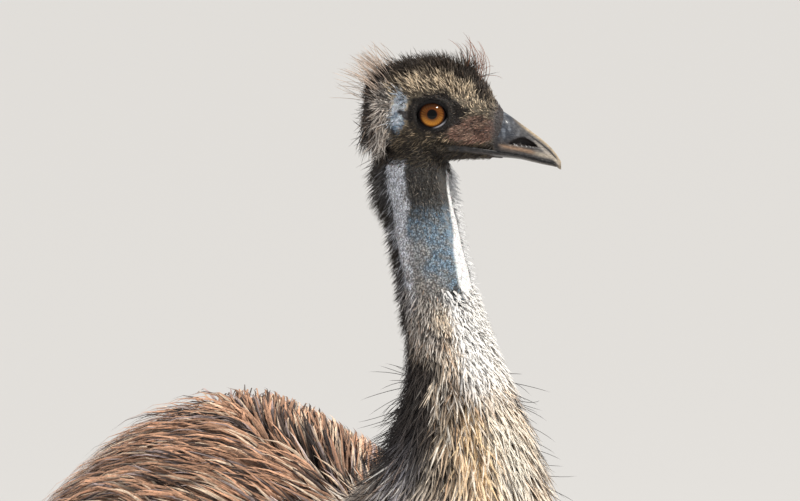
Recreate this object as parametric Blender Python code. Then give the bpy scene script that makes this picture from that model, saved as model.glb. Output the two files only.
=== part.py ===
"""A life-size emu that stands with its neck up and its head turned to its left.

Metres, +Z up. The breast faces -Y, the bird's right side is at -X, and the soles
of its toes lie on Z = 0. Trunk, neck and legs are lofts through named stations.
The shaggy coat is flat, tapered locks, each laid along the coat over its root.
"""

import math
import random

import bmesh
import bpy
import numpy as np
from mathutils import Matrix, Vector

MM = 0.001
GAP = 0.0003
CLEAR = 0.0006
FLAT_DEG = 2.0
SHARP_DEG = 40.0
SEED = 33
ROW_SHIFT_Y = -0.0160

# Trunk: a long egg, roof-like along the back and falling to the rump, without its outer coat.
TRUNK_MID_Y = 0.008
TRUNK_HALF_LENGTH = 0.412
TRUNK_MID_Z = 0.822
TRUNK_HALF_WIDTH = 0.203
TRUNK_TOP = 0.2385
TRUNK_BELLY = 0.200
TRUNK_ROOF_POWER = 1.45
TRUNK_BELLY_POWER = 2.1
TRUNK_END_POWER = 2.5
TRUNK_NARROWER_IN_FRONT = 0.13
TRUNK_RISES_IN_FRONT = 0.014
TRUNK_SAG = 0.080
TRUNK_RUMP_LOWER = 0.33
TRUNK_RUMP_THINNER = 0.12
TRUNK_COAT = 0.034

# Neck: x, y, z and radius of the flesh and inner coat, from the trunk to the head.
NECK = (
    (0.000, -0.235, 0.845, 0.118),
    (0.000, -0.325, 0.912, 0.106),
    (0.000, -0.382, 0.978, 0.088),
    (0.000, -0.414, 1.044, 0.070),
    (0.000, -0.422, 1.094, 0.056),
    (0.000, -0.420, 1.139, 0.045),
    (0.000, -0.410, 1.180, 0.037),
    (0.000, -0.393, 1.221, 0.0325),
    (0.000, -0.369, 1.275, 0.0300),
    (0.001, -0.347, 1.326, 0.0295),
    (0.004, -0.337, 1.358, 0.0300),
    (0.010, -0.337, 1.392, 0.0240),
)
NECK_BASE_AT = 2.35
NECK_MIDDLE_AT = 4.7
NECK_UPPER_AT = 7.1
NECK_HEAD_AT = 9.75

# Head: its own axes run forwards, to its left and up from the middle of the eyes.
HEAD_MID = (0.0161, -0.3433, 1.396)
HEAD_HEADING_DEG = 60.0
HEAD_LEAN_DEG = 9.4
HEAD_SIDES = 22
EYE_RADIUS = 14.6
EYE_OUT = 16.0
CORNEA_RADIUS = 9.8
CORNEA_OUT = 6.4
LID_RADIUS = 12.9
LID_THICKNESS = 3.4
LID_STRETCH = 1.10
LID_OUT = 25.6
LID_STEPS = 16
LID_SIDES = 6
EYE_OPENING = 11.6
EAR = (-33.0, 24.0, -13.0, 4.6)
MOUTH_BACK = 3.0
MOUTH_GAP = 0.5
BILL_ROOT = 61.0
BILL_TIP = 115.5
# Head stations in millimetres: forwards, top, bottom and half width.
HEAD = (
    (-58.5, 7.0, -5.0, 4.0),
    (-57.0, 15.0, -12.0, 10.5),
    (-52.0, 24.5, -20.0, 16.5),
    (-44.0, 32.0, -28.0, 21.0),
    (-34.0, 38.0, -33.5, 24.0),
    (-20.0, 43.3, -37.5, 26.6),
    (-5.0, 45.6, -39.3, 28.0),
    (10.0, 44.2, -38.8, 27.6),
    (24.0, 39.6, -37.6, 24.6),
    (38.0, 31.2, -37.0, 20.6),
    (50.0, 20.6, -37.2, 17.6),
    (58.0, 11.6, -37.6, 16.2),
    (64.0, 5.4, -38.2, 15.4),
)
# Crest rows in millimetres: forwards, number of tufts, length, width, lean back and curl.
CREST = (
    (-49.0, 4, 30.0, 8.0, 0.50, -0.30),
    (-38.0, 5, 26.0, 8.0, 0.65, 0.05),
    (-23.0, 5, 22.0, 8.0, 0.70, 0.30),
    (-6.0, 5, 21.0, 8.0, 0.70, 0.35),
    (11.0, 5, 21.0, 8.0, 0.60, 0.40),
    (27.0, 4, 28.0, 7.0, 0.15, 0.50),
    (39.0, 3, 20.0, 6.0, 0.20, 0.60),
)
CREST_SUNK = 3.5
CREST_HALF_ARC_DEG = 76.0
# Bill stations in millimetres: forwards, ridge, line of the mouth, underside, half width.
BILL = (
    (0.0, 5.0, -23.5, -38.6, 22.0),
    (25.0, 5.0, -26.8, -37.2, 19.0),
    (50.0, 5.0, -30.4, -37.0, 17.0),
    (61.0, 6.6, -32.0, -37.6, 16.0),
    (70.0, 1.4, -33.4, -38.4, 14.6),
    (80.0, -6.2, -35.0, -39.6, 12.6),
    (90.0, -13.6, -36.7, -40.8, 10.6),
    (100.0, -20.8, -38.6, -42.2, 8.4),
    (107.0, -26.6, -40.2, -43.2, 6.4),
    (112.5, -32.4, -41.6, -44.0, 4.2),
    (115.5, -38.4, -42.6, -44.4, 1.8),
)
# Nostril slit in millimetres: its middle forwards and up, half length, half height and depth.
NOSTRIL = (80.0, -25.4, 12.5, 2.9, 5.0)
NOSTRIL_SLOPE_DEG = 6.0

# Legs: x, y, z, half width and half depth down the left leg, from inside the trunk to the foot.
LEG = (
    (0.1120, 0.0120, 0.7350, 0.0900, 0.1050),
    (0.1180, 0.0220, 0.6650, 0.0860, 0.1000),
    (0.1180, 0.0540, 0.5950, 0.0720, 0.0860),
    (0.1110, 0.0940, 0.5300, 0.0540, 0.0660),
    (0.1030, 0.1290, 0.4700, 0.0380, 0.0460),
    (0.0970, 0.1530, 0.4280, 0.0285, 0.0340),
    (0.0955, 0.1595, 0.4050, 0.0285, 0.0335),
    (0.0945, 0.1590, 0.3820, 0.0270, 0.0305),
    (0.0930, 0.1535, 0.3450, 0.0205, 0.0235),
    (0.0910, 0.1375, 0.2750, 0.0180, 0.0210),
    (0.0890, 0.1090, 0.1700, 0.0175, 0.0205),
    (0.0875, 0.0850, 0.0900, 0.0195, 0.0220),
    (0.0870, 0.0720, 0.0460, 0.0225, 0.0250),
    (0.0868, 0.0665, 0.0230, 0.0230, 0.0260),
)
HIP_HEIGHT = 0.735
HIP_SWING = 0.35
DRUMSTICK_AT = 1.62
HOCK_AT = 5.0
SHANK_SCUTES_AT = 8.1
ANKLE_AT = 12.0
SHANK_SCUTES = 14
SCUTE_RISE = 0.0014
FOOT_Y = {"right": -0.040, "left": 0.028}
TOE_ROOT = 0.056
# Each toe: turn to the midline from straight ahead, reach from the ankle,
# half width and height at the root.
TOES = {
    "inner": (33.0, 0.106, 0.0132, 0.0225),
    "middle": (1.0, 0.142, 0.0150, 0.0255),
    "outer": (-31.0, 0.118, 0.0132, 0.0230),
}
TOE_SCUTES = 5
CLAW_LENGTH = 0.027
CLAW_HALF_WIDTH = 0.0075
CLAW_HEIGHT = 0.0125

# Tail: x, y, z and radius of the rump's hanging core, from its tip up into the trunk.
TAIL = (
    (0.0, 0.452, 0.560, 0.022),
    (0.0, 0.442, 0.625, 0.066),
    (0.0, 0.408, 0.695, 0.100),
    (0.0, 0.330, 0.745, 0.122),
)
TAIL_AT = 1.95

# Wings: x, y, z and radius of the left arm from the shoulder, and its plumes.
WING = (
    (0.150, -0.228, 0.862, 0.021),
    (0.184, -0.185, 0.832, 0.020),
    (0.204, -0.125, 0.792, 0.016),
    (0.212, -0.062, 0.757, 0.011),
    (0.213, -0.022, 0.735, 0.005),
)
WING_KEYS = (0.0, 0.8, 1.6, 2.4, 3.2, 4.0)
WING_PLUMES = 6
WING_PLUME_LENGTH = 0.135
WING_PLUME_WIDTH = 0.050
WING_LIFT = 0.038

# Coat locks: how far a root is sunk and how thick a lock is for its width.
LOCK_SUNK = 0.009
LOCK_THICKNESS = 0.11
LOCK_LEAST_THICKNESS = 0.0016
LOCK_WIDTHS = (0.62, 1.0, 0.80)
# Each step of a lock: its share of the length, and of the lift that its end stands off.
LOCK_STEPS = ((0.30, 0.36), (0.36, 0.78), (0.34, 1.0))
LOCK_EDGE_GROWTH = 10.0
KEPT_DOWN = 0.75
STIFFNESS = 0.25
# Seeded variation of the locks: angle in steps, station, sway, length and width.
TURN_SPREAD = 0.15
STATION_SPREAD = 0.06
SWAY = 0.13
SIZE_SPREAD = 0.11

# Tiers of locks: station, number, length, width and lift at the tip.
TRUNK_TIERS = (-0.80, -0.42, -0.04, 0.34, 0.70)
TRUNK_LOCK_LENGTH = 0.245
TRUNK_LOCK_WIDTH = 0.104
# Locks leave out the underside between and behind the thighs, where the coat is short.
BARE_FROM = -0.30
BARE_HALF_ANGLE = 0.70
RIDGE_LOWER = 0.45
RIDGE_HALF_ANGLE = 0.4
NECK_MIDDLE_TIERS = ((6.35, 6, 0.056, 0.038, 0.010), (5.30, 6, 0.080, 0.048, 0.016))
NECK_BASE_TIERS = (
    (4.40, 6, 0.075, 0.050, 0.020),
    (3.70, 8, 0.088, 0.058, 0.024),
    (3.00, 9, 0.100, 0.066, 0.028),
)
NECK_ROOT_TIERS = ((1.95, 8, 0.140, 0.080, 0.028), (1.05, 8, 0.165, 0.098, 0.034))
TAIL_TIERS = ((1.60, 7, 0.170, 0.094, 0.030), (0.85, 5, 0.130, 0.094, 0.030))
DRUMSTICK_TIERS = ((2.20, 7, 0.100, 0.064, 0.012), (3.30, 7, 0.075, 0.045, 0.012))
THIGH_ROW = (0.95, 4, 0.170, 0.088, 0.030)
THIGH_STEP = 0.62

COLOURS = {
    "plumage": ((0.19, 0.13, 0.09), 0.85),
    "dark_plumage": ((0.05, 0.04, 0.04), 0.85),
    "face_skin": ((0.16, 0.14, 0.13), 0.7),
    "blue_skin": ((0.30, 0.38, 0.45), 0.65),
    "bill_horn": ((0.13, 0.12, 0.12), 0.35),
    "eye": ((0.45, 0.16, 0.02), 0.08),
    "leg_scales": ((0.13, 0.11, 0.10), 0.55),
    "claw_horn": ((0.05, 0.045, 0.04), 0.4),
}


def clear_scene():
    for old in list(bpy.data.objects):
        bpy.data.objects.remove(old)
    for old in list(bpy.data.collections):
        bpy.data.collections.remove(old)


def collection(name):
    """The collection of this name, which is made when it is first asked for."""
    made = bpy.data.collections.get(name)
    if not made:
        made = bpy.data.collections.new(name)
        bpy.context.scene.collection.children.link(made)
    return made


def piece_object(name, mesh):
    """A piece or cutter that a Boolean uses up, unless finish makes it a part of the bird."""
    made = bpy.data.objects.new(name, mesh)
    collection("cutters").objects.link(made)
    made.hide_render = True
    made.display_type = "WIRE"
    return made


def material(name):
    colour, roughness = COLOURS[name]
    made = bpy.data.materials.get(name) or bpy.data.materials.new(name)
    made.use_nodes = True
    shader = made.node_tree.nodes["Principled BSDF"]
    shader.inputs["Base Color"].default_value = (*colour, 1.0)
    shader.inputs["Roughness"].default_value = roughness
    shader.inputs["Metallic"].default_value = 0.0
    return made


def smooth_rows(rows, at):
    """The rows' values at each key in at, on smooth curves through them; the first column is the key."""
    table = np.array(rows, float)
    keys, values = table[:, 0], table[:, 1:]
    at = np.clip(np.atleast_1d(np.asarray(at, float)), keys[0], keys[-1])
    slopes = np.gradient(values, keys, axis=0)
    low = np.clip(np.searchsorted(keys, at, side="right") - 1, 0, len(keys) - 2)
    span = (keys[low + 1] - keys[low])[:, None]
    u = ((at - keys[low]) / span[:, 0])[:, None]
    return (
        values[low] * (1 + 2 * u) * (1 - u) ** 2
        + slopes[low] * span * u * (1 - u) ** 2
        + values[low + 1] * u * u * (3 - 2 * u)
        + slopes[low + 1] * span * u * u * (u - 1)
    )


def numbered(rows):
    """The rows with their number put in front as a key."""
    return [(float(n), *row) for n, row in enumerate(rows)]


def mesh_object(name, points, faces, material_name):
    mesh = bpy.data.meshes.new(name)
    mesh.from_pydata([tuple(p) for p in points], [], faces)
    work = bmesh.new()
    work.from_mesh(mesh)
    bmesh.ops.recalc_face_normals(work, faces=work.faces)
    bmesh.ops.triangulate(work, faces=work.faces, quad_method="FIXED")
    work.to_mesh(mesh)
    work.free()
    mesh.materials.append(material(material_name))
    return piece_object(name, mesh)


def loft(name, rings, material_name):
    """A closed skin over rings of equally many points; a ring of one point is a tip."""
    points, starts, faces = [], [], []
    for ring in rings:
        starts.append(len(points))
        points.extend(ring)
    for k in range(len(rings) - 1):
        a, b = starts[k], starts[k + 1]
        count_a, count_b = len(rings[k]), len(rings[k + 1])
        sides = max(count_a, count_b)
        for n in range(sides):
            m = (n + 1) % sides
            corners = [a + n % count_a, a + m % count_a, b + m % count_b, b + n % count_b]
            faces.append(list(dict.fromkeys(corners)))
    for end in (0, len(rings) - 1):
        if len(rings[end]) > 2:
            faces.append([starts[end] + n for n in range(len(rings[end]))])
    return mesh_object(name, points, faces, material_name)


def boolean(obj, other, operation):
    """Joins to or cuts from obj an object, or the closed meshes of a list, which are then gone.

    The solver is MANIFOLD, because EXACT takes minutes over a hundred crossing locks.
    """
    others = other if isinstance(other, list) else [other]
    group = collection("operands")
    for piece in others:
        group.objects.link(piece)
    step = obj.modifiers.new("boolean", "BOOLEAN")
    step.operation = operation
    step.solver = "MANIFOLD"
    step.operand_type = "COLLECTION"
    step.collection = group
    graph = bpy.context.evaluated_depsgraph_get()
    joined = bpy.data.meshes.new_from_object(obj.evaluated_get(graph))
    obj.modifiers.clear()
    obj.data = joined
    bpy.data.collections.remove(group)
    for piece in others:
        bpy.data.objects.remove(piece)


def largest_surface(work):
    """Drops scraps and sealed hollows from a mesh that is made of closed surfaces."""
    left, groups = set(work.faces), []
    while left:
        group, front = set(), [left.pop()]
        while front:
            face = front.pop()
            group.add(face)
            near = {f for edge in face.edges for f in edge.link_faces} & left
            left -= near
            front.extend(near)
        groups.append(group)
    largest = max(groups, key=lambda group: sum(face.calc_area() for face in group))
    bmesh.ops.delete(work, geom=[f for f in work.faces if f not in largest], context="FACES")


def keep_largest(obj):
    """Keeps the largest closed surface, with few faces on its flat stretches unless that opens it."""
    faults = []
    for near in (0.0, 0.004, 0.008, 0.016, 0.032, 10.0):
        work = bmesh.new()
        work.from_mesh(obj.data)
        largest_surface(work)
        kept = {v for v in work.verts if any((v.co - fault).length < near for fault in faults)}
        bmesh.ops.dissolve_limit(
            work,
            angle_limit=math.radians(FLAT_DEG),
            verts=[v for v in work.verts if v not in kept],
            edges=[e for e in work.edges if not kept.intersection(e.verts)],
        )
        bmesh.ops.triangulate(work, faces=work.faces)
        open_edges = [edge for edge in work.edges if len(edge.link_faces) != 2]
        faults += [vert.co.copy() for edge in open_edges for vert in edge.verts]
        if not open_edges:
            work.to_mesh(obj.data)
        work.free()
        if not open_edges:
            return


def finish(obj, material_name):
    """Drops scraps, shades the round faces smooth and moves the object to the bird's collection."""
    keep_largest(obj)
    obj.data.materials.clear()
    obj.data.materials.append(material(material_name))
    obj.data.shade_smooth()
    obj.data.set_sharp_from_angle(angle=math.radians(SHARP_DEG))
    collection("cutters").objects.unlink(obj)
    collection("emu").objects.link(obj)
    obj.hide_render = False
    obj.display_type = "TEXTURED"


def trunk_section(q):
    """Middle height, half width, top and belly depth at q, from -1 at the breast to 1 at the rump."""
    full = np.sqrt(np.clip(1 - np.abs(q) ** TRUNK_END_POWER, 0.0025, 1))
    rump = np.maximum(q, 0) ** 1.5
    lower = full * (1 - TRUNK_RUMP_LOWER * rump)
    thinner = (1 + TRUNK_NARROWER_IN_FRONT * q) * (1 - TRUNK_RUMP_THINNER * rump)
    return (
        TRUNK_MID_Z - TRUNK_RISES_IN_FRONT * q - TRUNK_SAG * rump,
        TRUNK_HALF_WIDTH * full * thinner,
        TRUNK_TOP * lower,
        TRUNK_BELLY * full,
    )


def trunk_point(q, angle, out=0.0):
    """A point on the trunk at q; the angle is 0 on the back and grows to the bird's left."""
    middle, width, top, belly = (float(v) for v in trunk_section(np.array(q)))
    across, up = math.sin(angle), math.cos(angle)
    power = 2 / (TRUNK_ROOF_POWER if up > 0 else TRUNK_BELLY_POWER)
    reach = (top if up > 0 else belly) + out
    return Vector(
        (
            math.copysign((width + out) * abs(across) ** power, across),
            TRUNK_MID_Y + TRUNK_HALF_LENGTH * q,
            middle + math.copysign(reach * abs(up) ** power, up),
        )
    )


def trunk_outside(p):
    """Roughly how far each point is outside the trunk's outline."""
    q = (p[:, 1] - TRUNK_MID_Y) / TRUNK_HALF_LENGTH
    inner = np.clip(q, -0.985, 0.985)
    middle, width, top, belly = trunk_section(inner)
    across, rise = np.abs(p[:, 0]), p[:, 2] - middle
    tall = np.where(rise > 0, top, belly)
    power = np.where(rise > 0, TRUNK_ROOF_POWER, TRUNK_BELLY_POWER)
    ratio = ((across / width) ** power + (np.abs(rise) / tall) ** power) ** (1 / power)
    ring = np.hypot(across, rise) * (1 - 1 / np.maximum(ratio, 1e-4))
    beyond = np.abs(q - inner) * TRUNK_HALF_LENGTH
    return np.where(beyond > 0, np.hypot(np.maximum(ring, 0), beyond), ring)


class Limb:
    """A round or oval limb along a smooth line through stations."""

    def __init__(self, stations, side=1.0, shift_y=0.0):
        rows = []
        for x, y, z, *radii in stations:
            swing = 1 - (1 - HIP_SWING) * z / HIP_HEIGHT
            rows.append((side * x, y + shift_y * swing, z, *radii))
        self.rows = numbered(rows)

    def at(self, key):
        return smooth_rows(self.rows, key)[0]

    def middle(self, key):
        return Vector(self.at(key)[:3])

    def along(self, key):
        return (self.middle(key + 0.02) - self.middle(key - 0.02)).normalized()

    def frame(self, key):
        """The directions across, front to back, and along the limb."""
        along = self.along(min(max(key, 0.03), self.rows[-1][0] - 0.03))
        across = Vector((0, 1, 0)).cross(along)
        if across.length < 0.2:
            across = Vector((1, 0, 0))
        across.normalize()
        return across, along.cross(across).normalized(), along

    def point(self, key, angle, out=0.0, shift=0.0):
        """A point round the limb; angle 0 is across it, towards the bird's left."""
        values = self.at(key)
        wide = values[3] + out
        deep = (values[4] if len(values) > 4 else values[3]) + out
        across, back, along = self.frame(key)
        return (
            Vector(values[:3])
            + across * (wide * math.cos(angle))
            + back * (deep * math.sin(angle))
            + along * shift
        )

    def ring(self, key, sides, out=0.0, shift=0.0):
        return [self.point(key, math.tau * n / sides, out, shift) for n in range(sides)]

    def rings(self, first, last, count, sides, out=0.0):
        """Rings from first to last, with half a gap left at both ends."""
        keys = np.linspace(first, last, count)
        return [
            self.ring(k, sides, out, GAP / 2 * ((n == 0) - (n == count - 1)))
            for n, k in enumerate(keys)
        ]

    def outside(self, p):
        """How far each point is outside the limb."""
        keys = np.linspace(0, self.rows[-1][0], 4 * len(self.rows))
        line = smooth_rows(self.rows, keys)
        start, end = line[:-1], line[1:]
        run = end[:, :3] - start[:, :3]
        share = np.einsum("pmk,mk->pm", p[:, None, :] - start[None, :, :3], run)
        share = np.clip(share / (run**2).sum(1), 0, 1)
        near = start[None, :, :3] + share[:, :, None] * run[None]
        radius = start[None, :, 3] + share * (end - start)[None, :, 3]
        return (np.linalg.norm(p[:, None, :] - near, axis=2) - radius).min(1)


def smooth_min(a, b, soft):
    share = np.clip(0.5 + 0.5 * (b - a) / soft, 0, 1)
    return b * (1 - share) + a * share - soft * share * (1 - share)


def height_and_normal(parts, point, soft=0.03):
    """How far a point stands off the rounded join of the parts, and the way out from there."""
    reach = 0.002
    around = np.array([tuple(point)] * 7)
    for axis in range(3):
        around[1 + 2 * axis, axis] += reach
        around[2 + 2 * axis, axis] -= reach
    value = parts[0](around)
    for part in parts[1:]:
        value = smooth_min(value, part(around), soft)
    slope = np.array([value[1 + 2 * n] - value[2 + 2 * n] for n in range(3)]) / (2 * reach)
    steep = max(float(np.linalg.norm(slope)), 1e-6)
    return float(value[0]) / max(steep, 0.35), Vector(slope / steep)


def lock(path, outs, width, grow=0.0):
    """One flat, tapered lock along a path; outs are the ways out from the body on it."""
    rings, out = [], Vector((0, 0, 0))
    for k, share in enumerate(LOCK_WIDTHS):
        ahead = (path[k + 1] - path[max(k - 1, 0)]).normalized()
        across = ahead.cross(outs[k] + out * 0.5).normalized()
        out = across.cross(ahead)
        half = width * share / 2 + grow * LOCK_EDGE_GROWTH
        thick = max(width * share * LOCK_THICKNESS, LOCK_LEAST_THICKNESS)
        low = path[k] - out * (0.4 * thick + grow)
        rings.append([low - across * half, path[k] + out * (0.6 * thick + grow), low + across * half])
    tip, last = path[len(LOCK_WIDTHS)], path[len(LOCK_WIDTHS) - 1]
    rings.append([tip + (tip - last).normalized() * (grow * LOCK_EDGE_GROWTH)])
    return loft("lock", rings, "plumage")


def laid_path(root, parts, lie, length, lift, sway=0.0):
    """Four points of a lock that leaves its sunk root and lies along the coat, or hangs free of it."""
    height, out = height_and_normal(parts, root)
    point = root - out * (LOCK_SUNK + height)
    path, outs, before = [point], [out], None
    for step, wanted in LOCK_STEPS:
        towards = lie(point).normalized()
        away = towards.dot(out)
        towards = towards - out * (away if away < 0 else away * KEPT_DOWN)
        towards = towards.normalized() + out.cross(towards).normalized() * sway
        ahead = point + towards.normalized() * (length * step)
        height, out = height_and_normal(parts, ahead)
        least, most = lift * wanted, lift * (wanted + 3.0 * max(away, 0.0))
        if not least <= height <= most:
            ahead = ahead + out * ((least if height < least else most) - height)
        way = (ahead - point).normalized()
        way = (way + before * STIFFNESS).normalized() if before else way
        point = point + way * (length * step)
        before = way
        path.append(point)
        outs.append(out)
    return path, outs


def body_lie(point):
    """The way the trunk's feathers lie: backwards from a parting and drooping, most of all at the rump."""
    q = (point.y - TRUNK_MID_Y) / TRUNK_HALF_LENGTH
    droop = 0.55 + 0.50 * q + 0.9 * max(q - 0.45, 0)
    part = math.copysign(0.28 * math.exp(-((point.x / 0.07) ** 2)), point.x)
    return Vector((part, 1.0 - 0.55 * max(q, 0), -max(droop, 0.35)))


def skirt(name, limb, key, radius, flare, below, wide, above):
    """A region cut off by a skirt that flares from a limb's cut, and all that is above it."""
    middle, along = limb.middle(key), limb.along(key)
    profile = [(0, 0), (radius, 0)]
    profile += [(radius + rise, -down) for rise, down in flare]
    profile += [(wide, -below), (wide, above), (0, above)]
    work = bmesh.new()
    corners = [work.verts.new((r, 0, a)) for r, a in profile]
    edges = [work.edges.new(pair) for pair in zip(corners, corners[1:])]
    bmesh.ops.spin(
        work, geom=corners + edges, angle=math.tau, steps=28, axis=(0, 0, 1), cent=(0, 0, 0), use_merge=True
    )
    bmesh.ops.remove_doubles(work, verts=work.verts, dist=0.00005)
    bmesh.ops.recalc_face_normals(work, faces=work.faces)
    mesh = bpy.data.meshes.new(name)
    work.to_mesh(mesh)
    work.free()
    made = piece_object(name, mesh)
    made.matrix_world = Matrix.Translation(middle) @ along.to_track_quat("Z", "Y").to_matrix().to_4x4()
    bpy.context.view_layer.update()
    return made


HEAD_HEADING = Matrix.Rotation(math.radians(HEAD_HEADING_DEG - 90), 4, "Z")
HEAD_TURN = HEAD_HEADING @ Matrix.Rotation(math.radians(-HEAD_LEAN_DEG), 4, "X")
HEAD_PLACE = Matrix.Translation(HEAD_MID) @ HEAD_TURN


def on_head(forward, left, up):
    """A point given in millimetres in the head's own axes."""
    return HEAD_PLACE @ (Vector((forward, left, up)) * MM)


def oval_ring(forward, top, bottom, half, sides, power):
    """A ring across the head or bill, as a rounded oval from top to bottom."""
    middle, tall = (top + bottom) / 2, (top - bottom) / 2
    ring = []
    for n in range(sides):
        angle = math.tau * (n + 0.5) / sides
        across, up = math.sin(angle), math.cos(angle)
        ring.append(
            on_head(
                forward,
                math.copysign(half * abs(across) ** (2 / power), across),
                middle + math.copysign(tall * abs(up) ** (2 / power), up),
            )
        )
    return ring


def head_ball(name, place, radius, stretch=(1, 1, 1), rings=12, segments=20):
    work = bmesh.new()
    bmesh.ops.create_uvsphere(work, u_segments=segments, v_segments=rings, radius=1.0)
    turn = Matrix.Rotation(math.pi / 2, 4, "X")
    scale = Matrix.Diagonal((*(radius * MM * s for s in stretch), 1))
    bmesh.ops.transform(work, verts=work.verts, matrix=scale @ turn)
    mesh = bpy.data.meshes.new(name)
    work.to_mesh(mesh)
    work.free()
    made = piece_object(name, mesh)
    made.matrix_world = Matrix.Translation(on_head(*place)) @ HEAD_TURN
    bpy.context.view_layer.update()
    return made


def head_ring(forward):
    top, bottom, half = smooth_rows(HEAD, forward)[0]
    return oval_ring(forward, top, bottom, half, HEAD_SIDES, 2.25)


def bill_rows(forward):
    """Ridge, line of the mouth, underside and half width of the bill."""
    return smooth_rows(BILL, forward)[0]


def crest_lock(forward, side, length, width, lean, curl):
    """A hair-like tuft on the crown; side runs from -1 to 1 over it, lean back and curl at the tip."""
    top, bottom, half = smooth_rows(HEAD, forward)[0]
    middle, tall = (top + bottom) / 2, (top - bottom) / 2
    angle = side * math.radians(CREST_HALF_ARC_DEG)
    slope = smooth_rows(HEAD, forward + 1)[0][0] - top
    out = Vector((-slope * math.cos(angle), math.sin(angle) * tall / half, math.cos(angle)))
    out.normalize()
    point = Vector((forward, half * math.sin(angle), middle + tall * math.cos(angle)))
    point -= out * CREST_SUNK
    back = Vector((-1.0, 0.0, 0.35 * abs(side)))
    back = (back - out * back.dot(out)).normalized()
    path, outs = [on_head(*point)], [HEAD_TURN.to_3x3() @ out]
    for share in (0.0, 0.5, 1.0):
        turn = lean + 0.25 * abs(side) + curl * share
        step = out * math.cos(turn) + back * math.sin(turn)
        point = point + step * ((length + CREST_SUNK) / 3)
        path.append(on_head(*point))
        outs.append(HEAD_TURN.to_3x3() @ (out * math.sin(turn) - back * math.cos(turn)))
    return lock(path, outs, width * MM)


def crest(draw):
    """Tufts of the crown, longest at the nape and over the brow, as they stand up there."""
    tufts = []
    for forward, count, length, width, lean, curl in CREST:
        for n in range(count):
            side = (n - (count - 1) / 2) / 2.3 + draw.uniform(-0.06, 0.06)
            long = varied(draw, length) * (1 - 0.25 * abs(side))
            lean_back = lean + draw.uniform(-SWAY, SWAY)
            place = forward + draw.uniform(-3, 3)
            tufts.append(crest_lock(place, side, long, varied(draw, width), lean_back, curl))
    return tufts


def eye_opening(side):
    """The slanted-edge hole between the lids."""
    work = bmesh.new()
    inner, outer = EYE_OPENING * MM, (EYE_OPENING + 3.0) * MM
    bmesh.ops.create_cone(work, cap_ends=True, segments=16, radius1=inner, radius2=outer, depth=9 * MM)
    turn = Matrix.Rotation(-side * math.pi / 2, 4, "X")
    stretch = Matrix.Diagonal((LID_STRETCH, 1, 1, 1))
    bmesh.ops.transform(work, verts=work.verts, matrix=stretch @ turn)
    mesh = bpy.data.meshes.new("opening")
    work.to_mesh(mesh)
    work.free()
    made = piece_object("opening", mesh)
    made.matrix_world = Matrix.Translation(on_head(0, side * (LID_OUT + 2.4), 0)) @ HEAD_TURN
    bpy.context.view_layer.update()
    return made


def lid_ring(side):
    """The fleshy rim that the upper and lower lid make round the eye."""
    rings = []
    for k in range(LID_STEPS):
        round_eye = math.tau * k / LID_STEPS
        thick = LID_THICKNESS * (1.0 + 0.18 * math.sin(round_eye))
        ring = []
        for n in range(LID_SIDES):
            tube = math.tau * n / LID_SIDES
            reach = LID_RADIUS + thick * math.cos(tube)
            ring.append(
                on_head(
                    reach * math.cos(round_eye) * LID_STRETCH,
                    side * (LID_OUT + thick * 0.9 * math.sin(tube) - 1.4 * abs(math.cos(round_eye))),
                    reach * math.sin(round_eye),
                )
            )
        rings.append(ring)
    points = [p for ring in rings for p in ring]
    faces = []
    for k in range(LID_STEPS):
        a, b = LID_SIDES * k, LID_SIDES * ((k + 1) % LID_STEPS)
        for n in range(LID_SIDES):
            m = (n + 1) % LID_SIDES
            faces.append([a + n, a + m, b + m, b + n])
    return mesh_object("lids", points, faces, "face_skin")


def mouth_space():
    """The room of the lower bill: all across the head between the mouth and the bill's underside."""
    rings = []
    for forward in (MOUTH_BACK, 14.0, 25.0, 38.0, 50.0, 60.0, 75.0):
        _, mouth, under, _ = bill_rows(forward)
        low = under - 0.6
        corners = ((-40.0, mouth), (40.0, mouth), (40.0, low), (-40.0, low))
        rings.append([on_head(forward, across, up) for across, up in corners])
    return loft("mouth_space", rings, "face_skin")


def build_head(neck, draw):
    stations = (-58.5, -57.0, -53.0, -46.0, -36.0, -25.0, -13.0, 0.0, 13.0, 26.0, 36.0, 45.0, 53.0)
    rings = [head_ring(forward) for forward in stations] + [head_ring(BILL_ROOT - 0.15)]
    head = loft("head", rings, "face_skin")
    stub = loft("stub", neck.rings(NECK_HEAD_AT, 10.9, 3, 18), "face_skin")
    boolean(head, [stub, lid_ring(1), lid_ring(-1), *crest(draw)], "UNION")
    cutters = [mouth_space()]
    for side in (-1, 1):
        cutters.append(head_ball("socket", (0, side * EYE_OUT, 0), EYE_RADIUS + 0.35, rings=8, segments=12))
        cutters.append(eye_opening(side))
        forward, out, up, radius = EAR
        cutters.append(head_ball("ear_cup", (forward, side * out, up), radius, (0.8, 0.9, 1.0), 5, 8))
    for cutter in cutters:
        boolean(head, cutter, "DIFFERENCE")
    finish(head, "face_skin")


def build_eyes():
    for side, word in ((1, "left"), (-1, "right")):
        eye = head_ball(f"eye_{word}", (0, side * EYE_OUT, 0), EYE_RADIUS, rings=8, segments=12)
        place = (0, side * (EYE_OUT + CORNEA_OUT), 0)
        cornea = head_ball("cornea", place, CORNEA_RADIUS, rings=7, segments=12)
        boolean(eye, cornea, "UNION")
        finish(eye, "eye")


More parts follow.
